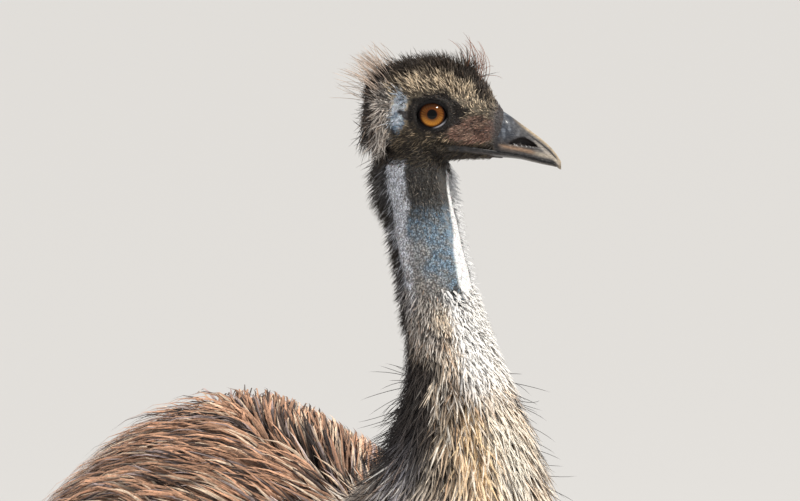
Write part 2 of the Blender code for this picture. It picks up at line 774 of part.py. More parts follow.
def build_bill():
    upper_rings, lower_rings = [], []
    ridge_stations = (66.0, 72.0, 78.0, 84.0, 90.0, 96.0, 102.0, 107.0, 111.5, 114.2)
    jaw_stations = (14.0, 25.0, 38.0, 50.0, 61.0, 72.0, 82.0, 92.0, 101.0, 108.0, 112.0)
    for forward in (BILL_ROOT + 0.15, *ridge_stations, BILL_TIP):
        ridge, mouth, _, half = bill_rows(forward)
        upper_rings.append(bill_ring(forward, ridge, mouth, half, 1.0))
    for forward in (MOUTH_BACK + 0.3, *jaw_stations):
        _, mouth, under, half = bill_rows(forward)
        lower_rings.append(bill_ring(forward, under, mouth - MOUTH_GAP, half - 0.5, -1.0))
    upper = loft("bill_upper", upper_rings, "bill_horn")
    forward, up, long, tall, deep = NOSTRIL
    for side in (-1, 1):
        half = bill_rows(forward)[3]
        slit = head_ball("nostril", (forward, side * (half - 1.5), up), 1.0, (long, deep, tall), 6, 10)
        slit.matrix_world = slit.matrix_world @ Matrix.Rotation(math.radians(NOSTRIL_SLOPE_DEG), 4, "Y")
        bpy.context.view_layer.update()
        boolean(upper, slit, "DIFFERENCE")
    finish(upper, "bill_horn")
    finish(loft("bill_lower", lower_rings, "bill_horn"), "bill_horn")


def bill_ring(forward, outer, mouth, half, way):
    """Half an oval over the line of the mouth (way 1) or under it (way -1), closed along that line."""
    ring = []
    arc = 12
    for n in range(arc + 1):
        angle = math.pi * n / arc
        across, rise = math.cos(angle), math.sin(angle)
        power = 0.85 if way > 0 else 0.6
        ring.append(on_head(forward, half * across, mouth + way * abs(outer - mouth) * rise**power))
    return ring


def varied(draw, size):
    return size * draw.uniform(1 - SIZE_SPREAD, 1 + SIZE_SPREAD)


def tier_locks(limb, tiers, parts, lie, draw):
    """Tiers of locks rooted round a limb, each tier turned by half a step from the one before."""
    locks = []
    for tier, (key, count, length, width, lift) in enumerate(tiers):
        for n in range(count):
            turn = n + 0.5 * (tier % 2) + draw.uniform(-TURN_SPREAD, TURN_SPREAD)
            station = key + draw.uniform(-STATION_SPREAD, STATION_SPREAD)
            root = limb.point(station, math.tau * turn / count)
            sway = draw.uniform(-SWAY, SWAY)
            path, outs = laid_path(root, parts, lie(key), varied(draw, length), lift, sway)
            locks.append(lock(path, outs, varied(draw, width)))
    return locks


def neck_lie(neck):
    """The way the neck's feathers lie: down it, drooping a little."""
    return lambda key: lambda point: Vector((0, 0, -0.15)) - neck.along(key)


def build_neck(neck, parts, draw):
    lie = neck_lie(neck)
    upper = loft("neck_upper", neck.rings(NECK_UPPER_AT, NECK_HEAD_AT, 7, 18), "blue_skin")
    finish(upper, "blue_skin")
    middle = loft("neck_middle", neck.rings(NECK_MIDDLE_AT, NECK_UPPER_AT, 5, 16), "plumage")
    boolean(middle, tier_locks(neck, NECK_MIDDLE_TIERS, parts, lie, draw), "UNION")
    boolean(middle, skirt_at_middle(neck, -GAP / 2), "INTERSECT")
    finish(middle, "plumage")
    base = loft("neck_base", neck.rings(NECK_BASE_AT, NECK_MIDDLE_AT, 5, 18), "plumage")
    boolean(base, tier_locks(neck, NECK_BASE_TIERS, parts, lie, draw), "UNION")
    boolean(base, skirt_at_middle(neck, GAP / 2), "DIFFERENCE")
    boolean(base, skirt_at_base(neck, -GAP / 2), "INTERSECT")
    finish(base, "plumage")


def skirt_at_middle(neck, grow):
    radius = neck.at(NECK_MIDDLE_AT)[3]
    flare = ((0.006 + grow, 0.012), (0.010 + grow, 0.030), (0.014 + grow, 0.050))
    return skirt("skirt", neck, NECK_MIDDLE_AT, radius, flare, 0.055 - grow, 0.4, 0.5)


def skirt_at_base(neck, grow):
    radius = neck.at(NECK_BASE_AT)[3]
    flare = ((0.010 + grow, 0.012), (0.030 + grow, 0.035), (0.060 + grow, 0.060))
    return skirt("skirt", neck, NECK_BASE_AT, radius, flare, 0.075 - grow, 0.5, 0.6)


def tail_sleeve(tail, grow, start):
    """The room of the tail's plumes, from its cut down past their tips."""
    rings = [tail.ring(TAIL_AT, 14, out=0.003 + grow, shift=shift) for shift in start]
    for key, out in ((1.7, 0.010), (1.2, 0.024), (0.6, 0.036)):
        rings.append(tail.ring(key, 14, out=out + grow))
    rings.append(tail.ring(0.0, 14, out=0.070 + grow))
    rings.append(tail.ring(0.0, 14, out=0.090 + grow, shift=-0.16))
    return loft("sleeve", rings, "plumage")


def trunk_locks(parts, skipped, draw):
    """Tiers of long locks from the breast to the rump, which part along the back and droop."""
    locks = []
    for tier, q in enumerate(TRUNK_TIERS):
        girth = math.pi * float(trunk_section(np.array(q))[1] + TRUNK_TOP)
        count = round(girth / (TRUNK_LOCK_WIDTH * 0.95))
        for n in range(count):
            turn = n + 0.5 * (tier % 2) + draw.uniform(-TURN_SPREAD, TURN_SPREAD)
            angle = math.tau * turn / count
            root = trunk_point(q + draw.uniform(-0.04, 0.04), angle)
            under = math.pi - abs(math.remainder(angle, math.tau)) < BARE_HALF_ANGLE
            if under and q > BARE_FROM:
                continue
            if any(field(np.array([tuple(root)]))[0] < near for field, near in skipped):
                continue
            ridge = math.exp(-((math.remainder(angle, math.tau) / RIDGE_HALF_ANGLE) ** 2))
            lift = TRUNK_COAT * (1 - RIDGE_LOWER * ridge)
            long = varied(draw, TRUNK_LOCK_LENGTH + 0.030 * q)
            path, outs = laid_path(root, parts, body_lie, long, lift, draw.uniform(-SWAY, SWAY))
            locks.append(lock(path, outs, varied(draw, TRUNK_LOCK_WIDTH)))
    return locks


def leg_lie(leg):
    """The way a thigh's feathers lie: along it, drooping and a little backwards."""
    return lambda key: lambda point: leg.along(3.0) + Vector((0, 0.25, -0.2))


def thigh_locks(leg, side, parts, draw):
    """Locks that hang from the outer side of a thigh's root, inside the trunk's node."""
    key, count, length, width, lift = THIGH_ROW
    locks = []
    for n in range(count):
        angle = (0 if side > 0 else math.pi) + (n - (count - 1) / 2) * THIGH_STEP
        root = leg.point(key, angle)
        long, sway = varied(draw, length), draw.uniform(-SWAY, SWAY)
        path, outs = laid_path(root, parts, leg_lie(leg)(key), long, lift, sway)
        locks.append(lock(path, outs, varied(draw, width)))
    return locks


def build_trunk(neck, tail, legs, parts, draw):
    shares = np.sin(np.linspace(-math.pi / 2, math.pi / 2, 12))
    rings = [[trunk_point(q, math.tau * n / 22) for n in range(22)] for q in shares * 0.9995]
    trunk = loft("trunk", rings, "plumage")
    pieces = [loft("stub", neck.rings(0.0, NECK_BASE_AT, 4, 18), "plumage")]
    pieces.append(loft("stub", tail.rings(TAIL_AT, 3.0, 3, 14), "plumage"))
    for leg in legs.values():
        pieces.append(loft("stub", leg.rings(0.0, DRUMSTICK_AT, 3, 16), "plumage"))
    skipped = [(neck.outside, 0.004), (tail.outside, 0.0)]
    skipped += [(leg.outside, -0.004) for leg in legs.values()]
    pieces += trunk_locks(parts, skipped, draw)
    for side, leg in legs.items():
        pieces += thigh_locks(leg, 1 if side == "left" else -1, parts, draw)
    pieces += tier_locks(neck, NECK_ROOT_TIERS, parts, neck_lie(neck), draw)
    boolean(trunk, pieces, "UNION")
    boolean(trunk, skirt_at_base(neck, GAP / 2), "DIFFERENCE")
    boolean(trunk, tail_sleeve(tail, 0.0, (0.0,)), "DIFFERENCE")
    for leg in legs.values():
        boolean(trunk, sleeve(leg, 0.0, (0.0,)), "DIFFERENCE")
    for side in (1, -1):
        for piece in wing_pieces(side, parts[:2], grow=CLEAR):
            boolean(trunk, piece, "DIFFERENCE")
    finish(trunk, "plumage")


def build_tail(tail, draw):
    core = loft("tail", tail.rings(0.0, TAIL_AT, 4, 14), "plumage")

    def lie(key):
        return lambda point: Vector((0, 0.12, -1.0))

    boolean(core, tier_locks(tail, TAIL_TIERS, [tail.outside], lie, draw), "UNION")
    boolean(core, tail_sleeve(tail, -CLEAR, (0.001, 0.0)), "INTERSECT")
    finish(core, "plumage")


def wing_pieces(side, parts, grow=0.0):
    """The arm of a folded wing and its plumes, laid back and down over the coat."""
    draw = random.Random(SEED + side)
    arm = Limb(WING, side)
    ends = {WING_KEYS[0]: -2 * grow, WING_KEYS[-1]: 2 * grow}
    rings = [arm.ring(key, 10, grow, ends.get(key, 0.0)) for key in WING_KEYS]
    pieces = [loft("wing", rings, "plumage")]
    for n in range(WING_PLUMES):
        share = n / (WING_PLUMES - 1)
        root = arm.point(0.6 + 3.2 * share, -side * math.pi / 2)
        long, sway = varied(draw, WING_PLUME_LENGTH) * (1 - 0.25 * share), draw.uniform(-SWAY, SWAY)
        path, outs = laid_path(root, parts, wing_lie, long, WING_LIFT, sway)
        pieces.append(lock(path, outs, varied(draw, WING_PLUME_WIDTH), grow))
    return pieces


def wing_lie(point):
    return Vector((0, 0.75, -0.8))


def build_wings(parts):
    for side, word in ((1, "left"), (-1, "right")):
        wing, *plumes = wing_pieces(side, parts)
        wing.name = f"wing_{word}"
        boolean(wing, plumes, "UNION")
        finish(wing, "plumage")


def sleeve(leg, grow, start):
    """The room of a drumstick and its coat, from its cut down past the hock."""
    rings = [leg.ring(DRUMSTICK_AT, 16, out=0.003 + grow, shift=shift) for shift in start]
    for key, out in ((1.85, 0.011), (2.3, 0.018), (3.2, 0.020), (4.2, 0.020), (5.4, 0.020)):
        rings.append(leg.ring(key, 16, out=out + grow))
    return loft("sleeve", rings, "plumage")


def build_drumstick(word, leg, draw):
    thigh = loft(f"drumstick_{word}", leg.rings(DRUMSTICK_AT, HOCK_AT, 6, 14), "plumage")
    boolean(thigh, tier_locks(leg, DRUMSTICK_TIERS, [leg.outside], leg_lie(leg), draw), "UNION")
    boolean(thigh, sleeve(leg, -CLEAR, (-0.001, 0.0)), "INTERSECT")
    finish(thigh, "plumage")


def build_shank(word, leg):
    """The bare shank, with large scutes stepped down its front."""
    sides = 12
    rings = leg.rings(HOCK_AT, SHANK_SCUTES_AT, 6, sides)[:-1]
    step = (ANKLE_AT - SHANK_SCUTES_AT) / SHANK_SCUTES
    for n in range(SHANK_SCUTES):
        for share, rise in ((0.0, 0.0), (0.86, SCUTE_RISE)):
            key = SHANK_SCUTES_AT + step * (n + share)
            ring = leg.ring(key, sides)
            _, back, _ = leg.frame(key)
            for k, point in enumerate(ring):
                front = max(-math.sin(math.tau * k / sides), 0.0)
                ring[k] = point - back * (rise * front)
            rings.append(ring)
    rings.append(leg.ring(ANKLE_AT, sides, shift=-GAP / 2))
    finish(loft(f"shank_{word}", rings, "leg_scales"), "leg_scales")


def toe_ring(middle, towards, share, half, height, rise, sides=8):
    """A ring across a toe, flat under its sole."""
    across = Vector((towards.y, -towards.x, 0))
    pads = 1 + 0.05 * math.cos(share * 4 * math.pi)
    wide = half * (1 - 0.30 * share) * pads
    tall = height * (1 - 0.38 * share) * pads
    ring = []
    for n in range(sides):
        angle = math.tau * (n + 0.5) / sides
        up = (1 + math.copysign(abs(math.sin(angle)) ** 0.75, math.sin(angle))) / 2
        up = 0.0 if up < 0.25 else up * tall + rise * max(math.sin(angle), 0)
        ring.append(middle + across * (wide * math.cos(angle)) + Vector((0, 0, up)))
    return ring


def build_foot(word, side, leg):
    ankle = leg.middle(13.0)
    centre = Vector((ankle.x, ankle.y, 0))
    rings = [leg.ring(ANKLE_AT, 12, shift=GAP / 2), leg.ring(12.5, 12), leg.ring(13.0, 12)]
    pieces = [loft("stub", rings, "leg_scales")]
    for toe, (turn, reach, half, height) in TOES.items():
        angle = math.radians(turn)
        towards = Vector((-side * math.sin(angle), -math.cos(angle), 0))
        rings = []
        for distance in (-0.020, -0.012, 0.0, 0.02, 0.04, TOE_ROOT - GAP / 2):
            low = {-0.020: 0.55, -0.012: 0.85}.get(distance, 1.0)
            swell = low * (1.0 + 0.12 * max(0.0, 1 - max(distance, 0) / 0.03))
            place = centre + towards * distance
            rings.append(toe_ring(place, towards, 0.0, half * swell, height * swell, 0.0))
        pieces.append(loft("stub", rings, "leg_scales"))
        build_toe(f"{toe}_{word}", centre, towards, reach, half, height)
    hub = pieces.pop()
    hub.name = f"foot_{word}"
    boolean(hub, pieces, "UNION")
    finish(hub, "leg_scales")


def build_toe(word, centre, towards, reach, half, height):
    long = reach - TOE_ROOT
    rings = [toe_ring(centre + towards * (TOE_ROOT + GAP / 2), towards, 0.0, half, height, 0.0)]
    for n in range(TOE_SCUTES):
        for part, rise in ((0.10, 0.0), (0.92, 0.0009)):
            share = (n + part) / TOE_SCUTES
            place = centre + towards * (TOE_ROOT + long * share)
            rings.append(toe_ring(place, towards, share, half, height, rise))
    end = centre + towards * (reach - GAP / 2)
    rings.append(toe_ring(end, towards, 1.0, half, height, 0.0))
    finish(loft(f"toe_{word}", rings, "leg_scales"), "leg_scales")
    claw_rings = []
    across = Vector((towards.y, -towards.x, 0))
    for share, size in ((0.0, 1.0), (0.25, 0.90), (0.5, 0.72), (0.75, 0.46)):
        place = centre + towards * (reach + GAP / 2 + CLAW_LENGTH * share)
        low = 0.0030 - 0.0016 * share
        ring = []
        for n in range(6):
            angle = math.tau * n / 6
            up = low + CLAW_HEIGHT * size * (1 - 0.25 * share) * (0.5 + 0.5 * math.sin(angle))
            ring.append(place + across * (CLAW_HALF_WIDTH * size * math.cos(angle)) + Vector((0, 0, up)))
        claw_rings.append(ring)
    claw_rings.append([centre + towards * (reach + CLAW_LENGTH) + Vector((0, 0, 0.0018))])
    finish(loft(f"claw_{word}", claw_rings, "claw_horn"), "claw_horn")


def main():
    clear_scene()
    draw = random.Random(SEED)
    neck, tail = Limb(NECK), Limb(TAIL)
    legs = {"left": Limb(LEG, 1, FOOT_Y["left"]), "right": Limb(LEG, -1, FOOT_Y["right"])}
    parts = [trunk_outside, neck.outside]
    build_head(neck, draw)
    build_eyes()
    build_bill()
    build_neck(neck, parts, draw)
    build_trunk(neck, tail, legs, parts + [leg.outside for leg in legs.values()], draw)
    build_tail(tail, draw)
    build_wings(parts)
    for word, side in (("left", 1), ("right", -1)):
        build_drumstick(word, legs[word], draw)
        build_shank(word, legs[word])
        build_foot(word, side, legs[word])
    bpy.data.collections.remove(collection("cutters"))
    for piece in collection("emu").objects:
        piece.data.transform(Matrix.Translation((0, ROW_SHIFT_Y, 0)) @ piece.matrix_world)
        piece.matrix_world = Matrix.Identity(4)


main()
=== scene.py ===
"""A museum model of an emu at life size, in the pose of the photograph.

The coat is closed vanes and hairs, rooted on a skin with the same markings. Sizes are in metres,
and on the head in millimetres forwards, to its left and up from the middle of its eyes.
"""

import math

import bmesh
import bpy
import numpy as np
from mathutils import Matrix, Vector, noise


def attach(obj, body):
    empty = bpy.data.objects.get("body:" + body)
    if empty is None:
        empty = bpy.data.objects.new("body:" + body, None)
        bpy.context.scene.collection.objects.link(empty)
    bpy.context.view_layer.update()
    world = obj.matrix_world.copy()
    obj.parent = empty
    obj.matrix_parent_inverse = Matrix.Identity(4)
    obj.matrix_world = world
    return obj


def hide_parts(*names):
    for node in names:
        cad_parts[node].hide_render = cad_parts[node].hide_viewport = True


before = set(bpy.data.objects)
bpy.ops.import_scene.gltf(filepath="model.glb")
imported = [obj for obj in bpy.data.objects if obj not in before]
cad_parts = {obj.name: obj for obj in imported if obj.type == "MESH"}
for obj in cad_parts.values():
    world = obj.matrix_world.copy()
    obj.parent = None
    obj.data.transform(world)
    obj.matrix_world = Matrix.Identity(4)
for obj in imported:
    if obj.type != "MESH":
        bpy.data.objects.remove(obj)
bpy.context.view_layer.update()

MM = 0.001
UP = np.array((0.0, 0.0, 1.0))
SEED = 7

# The bird is built at its stations, then moved by this into the frame of the solids.
SHIFT = np.array((0.0, -0.0160, 0.0))

# The camera: its place before the shift, and how far it looks to the right and down.
CAMERA_PLACE = (-1.446, -2.819, 1.75)
CAMERA_TURN = math.radians(-30)
CAMERA_TILT = math.radians(9.4)
LENS_MM = 145.8
SENSOR_MM = 36

# The bird's shape, as in its solids, but with a shorter and rounder tip of the tail.
TRUNK_MID_Y = 0.008
TRUNK_HALF_LENGTH = 0.412
TRUNK_MID_Z = 0.822
TRUNK_HALF_WIDTH = 0.203
TRUNK_TOP = 0.2385
TRUNK_BELLY = 0.200
TRUNK_ROOF_POWER = 1.45
TRUNK_BELLY_POWER = 2.1
TRUNK_END_POWER = 2.5
TRUNK_NARROWER_IN_FRONT = 0.13
TRUNK_RISES_IN_FRONT = 0.014
TRUNK_SAG = 0.080
TRUNK_RUMP_LOWER = 0.33
TRUNK_RUMP_THINNER = 0.12
# Neck stations: sideways, back, height, radius.
NECK = (
    (0.000, -0.235, 0.845, 0.118),
    (0.000, -0.325, 0.912, 0.106),
    (0.000, -0.382, 0.978, 0.088),
    (0.000, -0.414, 1.044, 0.070),
    (0.000, -0.422, 1.094, 0.056),
    (0.000, -0.420, 1.139, 0.045),
    (0.000, -0.410, 1.180, 0.037),
    (0.000, -0.393, 1.221, 0.0325),
    (0.000, -0.369, 1.275, 0.0300),
    (0.001, -0.347, 1.326, 0.0295),
    (0.004, -0.337, 1.358, 0.0300),
    (0.010, -0.337, 1.392, 0.0240),
)
# The head is square to the camera, so that its left and its up are the camera's depth and up.
HEAD_MID = np.array((0.0161, -0.3433, 1.396))
HEAD_FORWARD = np.array((math.cos(CAMERA_TURN), math.sin(CAMERA_TURN), 0.0))
AWAY = np.array((-HEAD_FORWARD[1], HEAD_FORWARD[0], 0.0))
HEAD_LEFT = AWAY * math.cos(CAMERA_TILT) - UP * math.sin(CAMERA_TILT)
HEAD_UP = AWAY * math.sin(CAMERA_TILT) + UP * math.cos(CAMERA_TILT)
# Head stations: forwards, top, bottom, half width.
HEAD = (
    (-58.5, 7.0, -5.0, 4.0),
    (-57.0, 15.0, -12.0, 10.5),
    (-52.0, 24.5, -20.0, 16.5),
    (-44.0, 32.0, -28.0, 21.0),
    (-34.0, 38.0, -33.5, 24.0),
    (-20.0, 43.3, -37.5, 26.6),
    (-5.0, 45.6, -39.3, 28.0),
    (10.0, 44.2, -38.8, 27.6),
    (24.0, 39.6, -37.6, 24.6),
    (38.0, 31.2, -37.0, 20.6),
    (50.0, 20.6, -37.2, 17.6),
    (58.0, 11.6, -37.6, 16.2),
    (64.0, 5.4, -38.2, 15.4),
)
# Bill stations: forwards, ridge, line of the mouth, underside, half width.
BILL = (
    (0.0, 5.0, -23.3, -36.6, 22.0),
    (25.0, 5.0, -26.8, -34.6, 19.0),
    (50.0, 13.0, -30.2, -35.6, 17.0),
    (61.0, 5.6, -32.0, -36.6, 16.0),
    (70.0, -0.2, -33.5, -37.3, 14.6),
    (80.0, -7.2, -35.2, -38.6, 12.8),
    (90.0, -14.6, -37.5, -41.0, 11.0),
    (100.0, -22.4, -40.0, -43.4, 9.0),
    (107.0, -29.0, -41.4, -44.8, 7.2),
    (112.5, -36.0, -42.6, -45.8, 5.0),
    (115.5, -41.0, -43.6, -45.0, 1.8),
)
EYE_OUT = 16.0
EYE_RADIUS = 14.4
IRIS_RADIUS = 10.6
PUPIL_RADIUS = 4.5
# The ear: forwards, up, radius. The middle of the bare patch behind the eye: forwards, up.
EAR = (-33.0, -13.0, 4.6)
PATCH = (-29.3, 3.0)
# Leg stations: sideways, back, height, half width, half depth.
LEG = (
    (0.1120, 0.0120, 0.7350, 0.0900, 0.1050),
    (0.1180, 0.0220, 0.6650, 0.0860, 0.1000),
    (0.1180, 0.0540, 0.5950, 0.0720, 0.0860),
    (0.1110, 0.0940, 0.5300, 0.0540, 0.0660),
    (0.1030, 0.1290, 0.4700, 0.0380, 0.0460),
    (0.0970, 0.1530, 0.4280, 0.0285, 0.0340),
    (0.0955, 0.1595, 0.4050, 0.0285, 0.0335),
    (0.0945, 0.1590, 0.3820, 0.0270, 0.0305),
    (0.0930, 0.1535, 0.3450, 0.0205, 0.0235),
    (0.0910, 0.1375, 0.2750, 0.0180, 0.0210),
    (0.0890, 0.1090, 0.1700, 0.0175, 0.0205),
    (0.0875, 0.0850, 0.0900, 0.0195, 0.0220),
    (0.0870, 0.0720, 0.0460, 0.0225, 0.0250),
    (0.0868, 0.0665, 0.0230, 0.0230, 0.0260),
)
HIP_HEIGHT = 0.735
HIP_SWING = 0.35
FOOT_Y = {"right": -0.040, "left": 0.028}
# Toes: turn inwards in degrees, reach, half width, height.
TOES = {
    "inner": (33.0, 0.106, 0.0132, 0.0225),
    "middle": (1.0, 0.142, 0.0150, 0.0255),
    "outer": (-31.0, 0.118, 0.0132, 0.0230),
}
CLAW_LENGTH = 0.027
# The foot's underside, just clear of the floor.
SOLE = 0.0008
# How far the parting of the back lies from the middle, from its front to its end.
PARTING = (
    (-0.240, -0.022),
    (-0.215, -0.026),
    (-0.173, -0.033),
    (-0.124, -0.037),
    (-0.066, -0.028),
    (0.033, 0.0),
)
# Tail and wing stations, as the neck's.
TAIL = (
    (0.0, 0.449, 0.590, 0.036),
    (0.0, 0.442, 0.625, 0.066),
    (0.0, 0.408, 0.695, 0.100),
    (0.0, 0.330, 0.745, 0.122),
)
WING = (
    (0.150, -0.228, 0.862, 0.021),
    (0.184, -0.185, 0.832, 0.020),
    (0.204, -0.125, 0.792, 0.016),
    (0.212, -0.062, 0.757, 0.011),
    (0.213, -0.022, 0.735, 0.005),
)

# Colours of the bird, linear.
# Tan is partly the feathers' brown as seen in sunlight; pale tan and grey partly stand for painted glints.
TAN = (0.60, 0.335, 0.205)
PALE_TAN = (0.90, 0.70, 0.51)
BROWN = (0.175, 0.080, 0.047)
DARK = (0.024, 0.017, 0.015)
GREY = (0.37, 0.30, 0.295)
CREAM = (0.97, 0.82, 0.64)
STRAW = (0.68, 0.55, 0.39)
OLIVE = (0.135, 0.105, 0.070)
RUST = (0.20, 0.110, 0.080)
BLUE = (0.200, 0.290, 0.380)
SUNLIT_THROAT = (0.93, 0.93, 0.93)
UNDERCOAT = (0.085, 0.052, 0.033)
HEAD_SHADOW = (0.048, 0.038, 0.028)
BLACK = (0.015, 0.015, 0.018)
WARM_WHITE = (1.0, 0.98, 0.93)
FEATHER_WHITE = (1.0, 0.98, 0.95)
IVORY = (1.0, 0.93, 0.80)
APRICOT = (0.98, 0.72, 0.42)
SAND = (0.56, 0.42, 0.30)
FAWN = (0.52, 0.37, 0.25)
UMBER = (0.13, 0.09, 0.065)
GREY_BLUE = (0.27, 0.285, 0.29)
WORN_GREY = (0.38, 0.36, 0.34)
WARM_GREY = (0.42, 0.37, 0.32)
DOVE_GREY = (0.36, 0.33, 0.31)
MOUSE_GREY = (0.30, 0.27, 0.26)
LILAC_GREY = (0.42, 0.40, 0.44)
PALE_SKIN = (0.82, 0.83, 0.88)
PALE_SKIN_SHADE = (0.52, 0.49, 0.48)
PATCH_PALE = (0.54, 0.61, 0.69)
PATCH_BLUE = (0.22, 0.31, 0.42)
PATCH_WHITE = (0.78, 0.82, 0.86)
HAY = (0.34, 0.25, 0.155)
FUZZ = (0.80, 0.72, 0.64)
FUZZ_SHADE = (0.36, 0.30, 0.25)
PALE_RUST = (0.34, 0.225, 0.165)
DARK_RUST = (0.06, 0.04, 0.032)
JAW = (0.060, 0.048, 0.034)
CERE = (0.070, 0.062, 0.062)
HORN = (0.022, 0.021, 0.024)
HORN_STREAK = (0.075, 0.068, 0.066)
HORN_BLUE = (0.035, 0.042, 0.056)
HORN_PALE_BLUE = (0.17, 0.19, 0.22)
RIDGE = (0.56, 0.44, 0.29)
FLANK_STRIPE = (0.44, 0.39, 0.33)
LIP_BROWN = (0.40, 0.25, 0.15)
LIP_TAN = (0.50, 0.43, 0.34)

# The coat: the height where its roots pass from the body's skin to the head's, and the most
# triangles in one mesh.
SKINS_MEET = 1.168
MOST_TRIANGLES = 190000


def unit(v):
    return v / np.maximum(np.linalg.norm(v, axis=-1, keepdims=True), 1e-9)


def ramp(x, low, high):
    """0 below low, 1 above high, smooth in between; low may be the greater."""
    t = np.clip((np.asarray(x, float) - low) / (high - low), 0, 1)
    return t * t * (3 - 2 * t)


def hump(x, middle, spread):
    """1 at the middle, falling off to 0 on both sides."""
    return np.exp(-(((x - middle) / spread) ** 2))


def mix(a, b, share):
    """Colours or directions from a to b, by a share for each point."""
    share = np.asarray(share)[..., None]
    return np.asarray(a) * (1 - share) + np.asarray(b) * share


def smooth_rows(rows, at):
    """A table's values on a smooth line through its rows, whose first column is the key."""
    table = np.array(rows, float)
    keys, values = table[:, 0], table[:, 1:]
    at = np.clip(np.atleast_1d(np.asarray(at, float)), keys[0], keys[-1])
    slopes = np.gradient(values, keys, axis=0)
    low = np.clip(np.searchsorted(keys, at, side="right") - 1, 0, len(keys) - 2)
    span = (keys[low + 1] - keys[low])[:, None]
    u = ((at - keys[low]) / span[:, 0])[:, None]
    return (
        values[low] * (1 + 2 * u) * (1 - u) ** 2
        + slopes[low] * span * u * (1 - u) ** 2
        + values[low + 1] * u * u * (3 - 2 * u)
        + slopes[low + 1] * span * u * u * (u - 1)
    )


def patchy(points, size, seed):
    """Soft patches of that size, from about -1 to 1."""
    offset = Vector((seed * 7.3, seed * 3.1, seed * 5.7))
    return np.array([noise.noise(Vector(p) / size + offset) for p in points]) * 1.6


def on_head(forward, left, up):
    forward, left, up = np.broadcast_arrays(forward, left, up)
    return (
        HEAD_MID
        + forward[..., None] * MM * HEAD_FORWARD
        + left[..., None] * MM * HEAD_LEFT
        + up[..., None] * MM * HEAD_UP
    )


def head_axes(points):
    """Forwards, left and up on the head, in millimetres."""
    offset = (points - HEAD_MID) / MM
    return offset @ HEAD_FORWARD, offset @ HEAD_LEFT, offset @ HEAD_UP


def trunk_section(q):
    """Middle height, half width, rise and drop of the trunk at q, from -1 in front to 1 behind."""
    full = np.sqrt(np.clip(1 - np.abs(q) ** TRUNK_END_POWER, 0.0025, 1))
    rump = np.maximum(q, 0) ** 1.5
    thinner = (1 + TRUNK_NARROWER_IN_FRONT * q) * (1 - TRUNK_RUMP_THINNER * rump)
    return (
        TRUNK_MID_Z - TRUNK_RISES_IN_FRONT * q - TRUNK_SAG * rump,
        TRUNK_HALF_WIDTH * full * thinner,
        TRUNK_TOP * full * (1 - TRUNK_RUMP_LOWER * rump),
        TRUNK_BELLY * full,
    )


def trunk_surface(q, angle):
    middle, width, top, belly = trunk_section(q)
    across, up = np.sin(angle), np.cos(angle)
    power = 2 / np.where(up > 0, TRUNK_ROOF_POWER, TRUNK_BELLY_POWER)
    reach = np.where(up > 0, top, belly)
    return np.stack(
        (
            np.sign(across) * width * np.abs(across) ** power,
            TRUNK_MID_Y + TRUNK_HALF_LENGTH * q,
            middle + np.sign(up) * reach * np.abs(up) ** power,
        ),
        axis=-1,
    )


def trunk_outside(p):
    """How far each point is outside the trunk."""
    q = (p[:, 1] - TRUNK_MID_Y) / TRUNK_HALF_LENGTH
    inner = np.clip(q, -0.985, 0.985)
    middle, width, top, belly = trunk_section(inner)
    across, rise = np.abs(p[:, 0]), p[:, 2] - middle
    tall = np.where(rise > 0, top, belly)
    power = np.where(rise > 0, TRUNK_ROOF_POWER, TRUNK_BELLY_POWER)
    ratio = ((across / width) ** power + (np.abs(rise) / tall) ** power) ** (1 / power)
    ring = np.hypot(across, rise) * (1 - 1 / np.maximum(ratio, 1e-4))
    beyond = np.abs(q - inner) * TRUNK_HALF_LENGTH
    return np.where(beyond > 0, np.hypot(np.maximum(ring, 0), beyond), ring)


class Limb:
    """A round or oval limb along a smooth line through stations."""

    def __init__(self, stations, side=1.0, shift_y=0.0):
        self.rows = []
        for n, (x, y, z, *radii) in enumerate(stations):
            swing = 1 - (1 - HIP_SWING) * z / HIP_HEIGHT
            self.rows.append((float(n), side * x, y + shift_y * swing, z, *radii))
        self.last = self.rows[-1][0]

    def frames(self, keys):
        """Values, and the directions across, back and along the limb, at the keys."""
        values = smooth_rows(self.rows, keys)
        held = np.clip(keys, 0.03, self.last - 0.03)
        along = unit(smooth_rows(self.rows, held + 0.02)[:, :3] - smooth_rows(self.rows, held - 0.02)[:, :3])
        across = np.cross((0.0, 1.0, 0.0), along)
        across = unit(np.where(np.linalg.norm(across, axis=1, keepdims=True) < 0.2, (1.0, 0.0, 0.0), across))
        return values, across, unit(np.cross(along, across)), along

    def surface(self, keys, angles, out=0.0):
        values, across, back, _ = self.frames(keys)
        wide, deep = values[:, 3] + out, values[:, -1] + out
        return (
            values[:, :3]
            + across * (wide * np.cos(angles))[:, None]
            + back * (deep * np.sin(angles))[:, None]
        )

    def nearest(self, p):
        """How far each point is outside the limb, and the key that it is nearest to."""
        keys = np.linspace(0, self.last, 2 * len(self.rows) + 1)
        line = smooth_rows(self.rows, keys)
        best, key = np.full(len(p), 1e9), np.zeros(len(p))
        for a, b, k in zip(line[:-1], line[1:], keys):
            run = b[:3] - a[:3]
            share = np.clip((p - a[:3]) @ run / (run @ run), 0, 1)
            gap = np.linalg.norm(p - a[:3] - share[:, None] * run, axis=1) - (a[3] + share * (b[3] - a[3]))
            near = gap < best
            best[near], key[near] = gap[near], k + share[near] * (keys[1] - keys[0])
        return best, key

    def outside(self, p):
        return self.nearest(p)[0]


NECK_LIMB = Limb(NECK)
TAIL_LIMB = Limb(TAIL)
LEGS = {"left": Limb(LEG, 1, FOOT_Y["left"]), "right": Limb(LEG, -1, FOOT_Y["right"])}
FIELDS = [trunk_outside, NECK_LIMB.outside, TAIL_LIMB.outside] + [leg.outside for leg in LEGS.values()]


def smooth_min(a, b, soft):
    share = np.clip(0.5 + 0.5 * (b - a) / soft, 0, 1)
    return b * (1 - share) + a * share - soft * share * (1 - share)


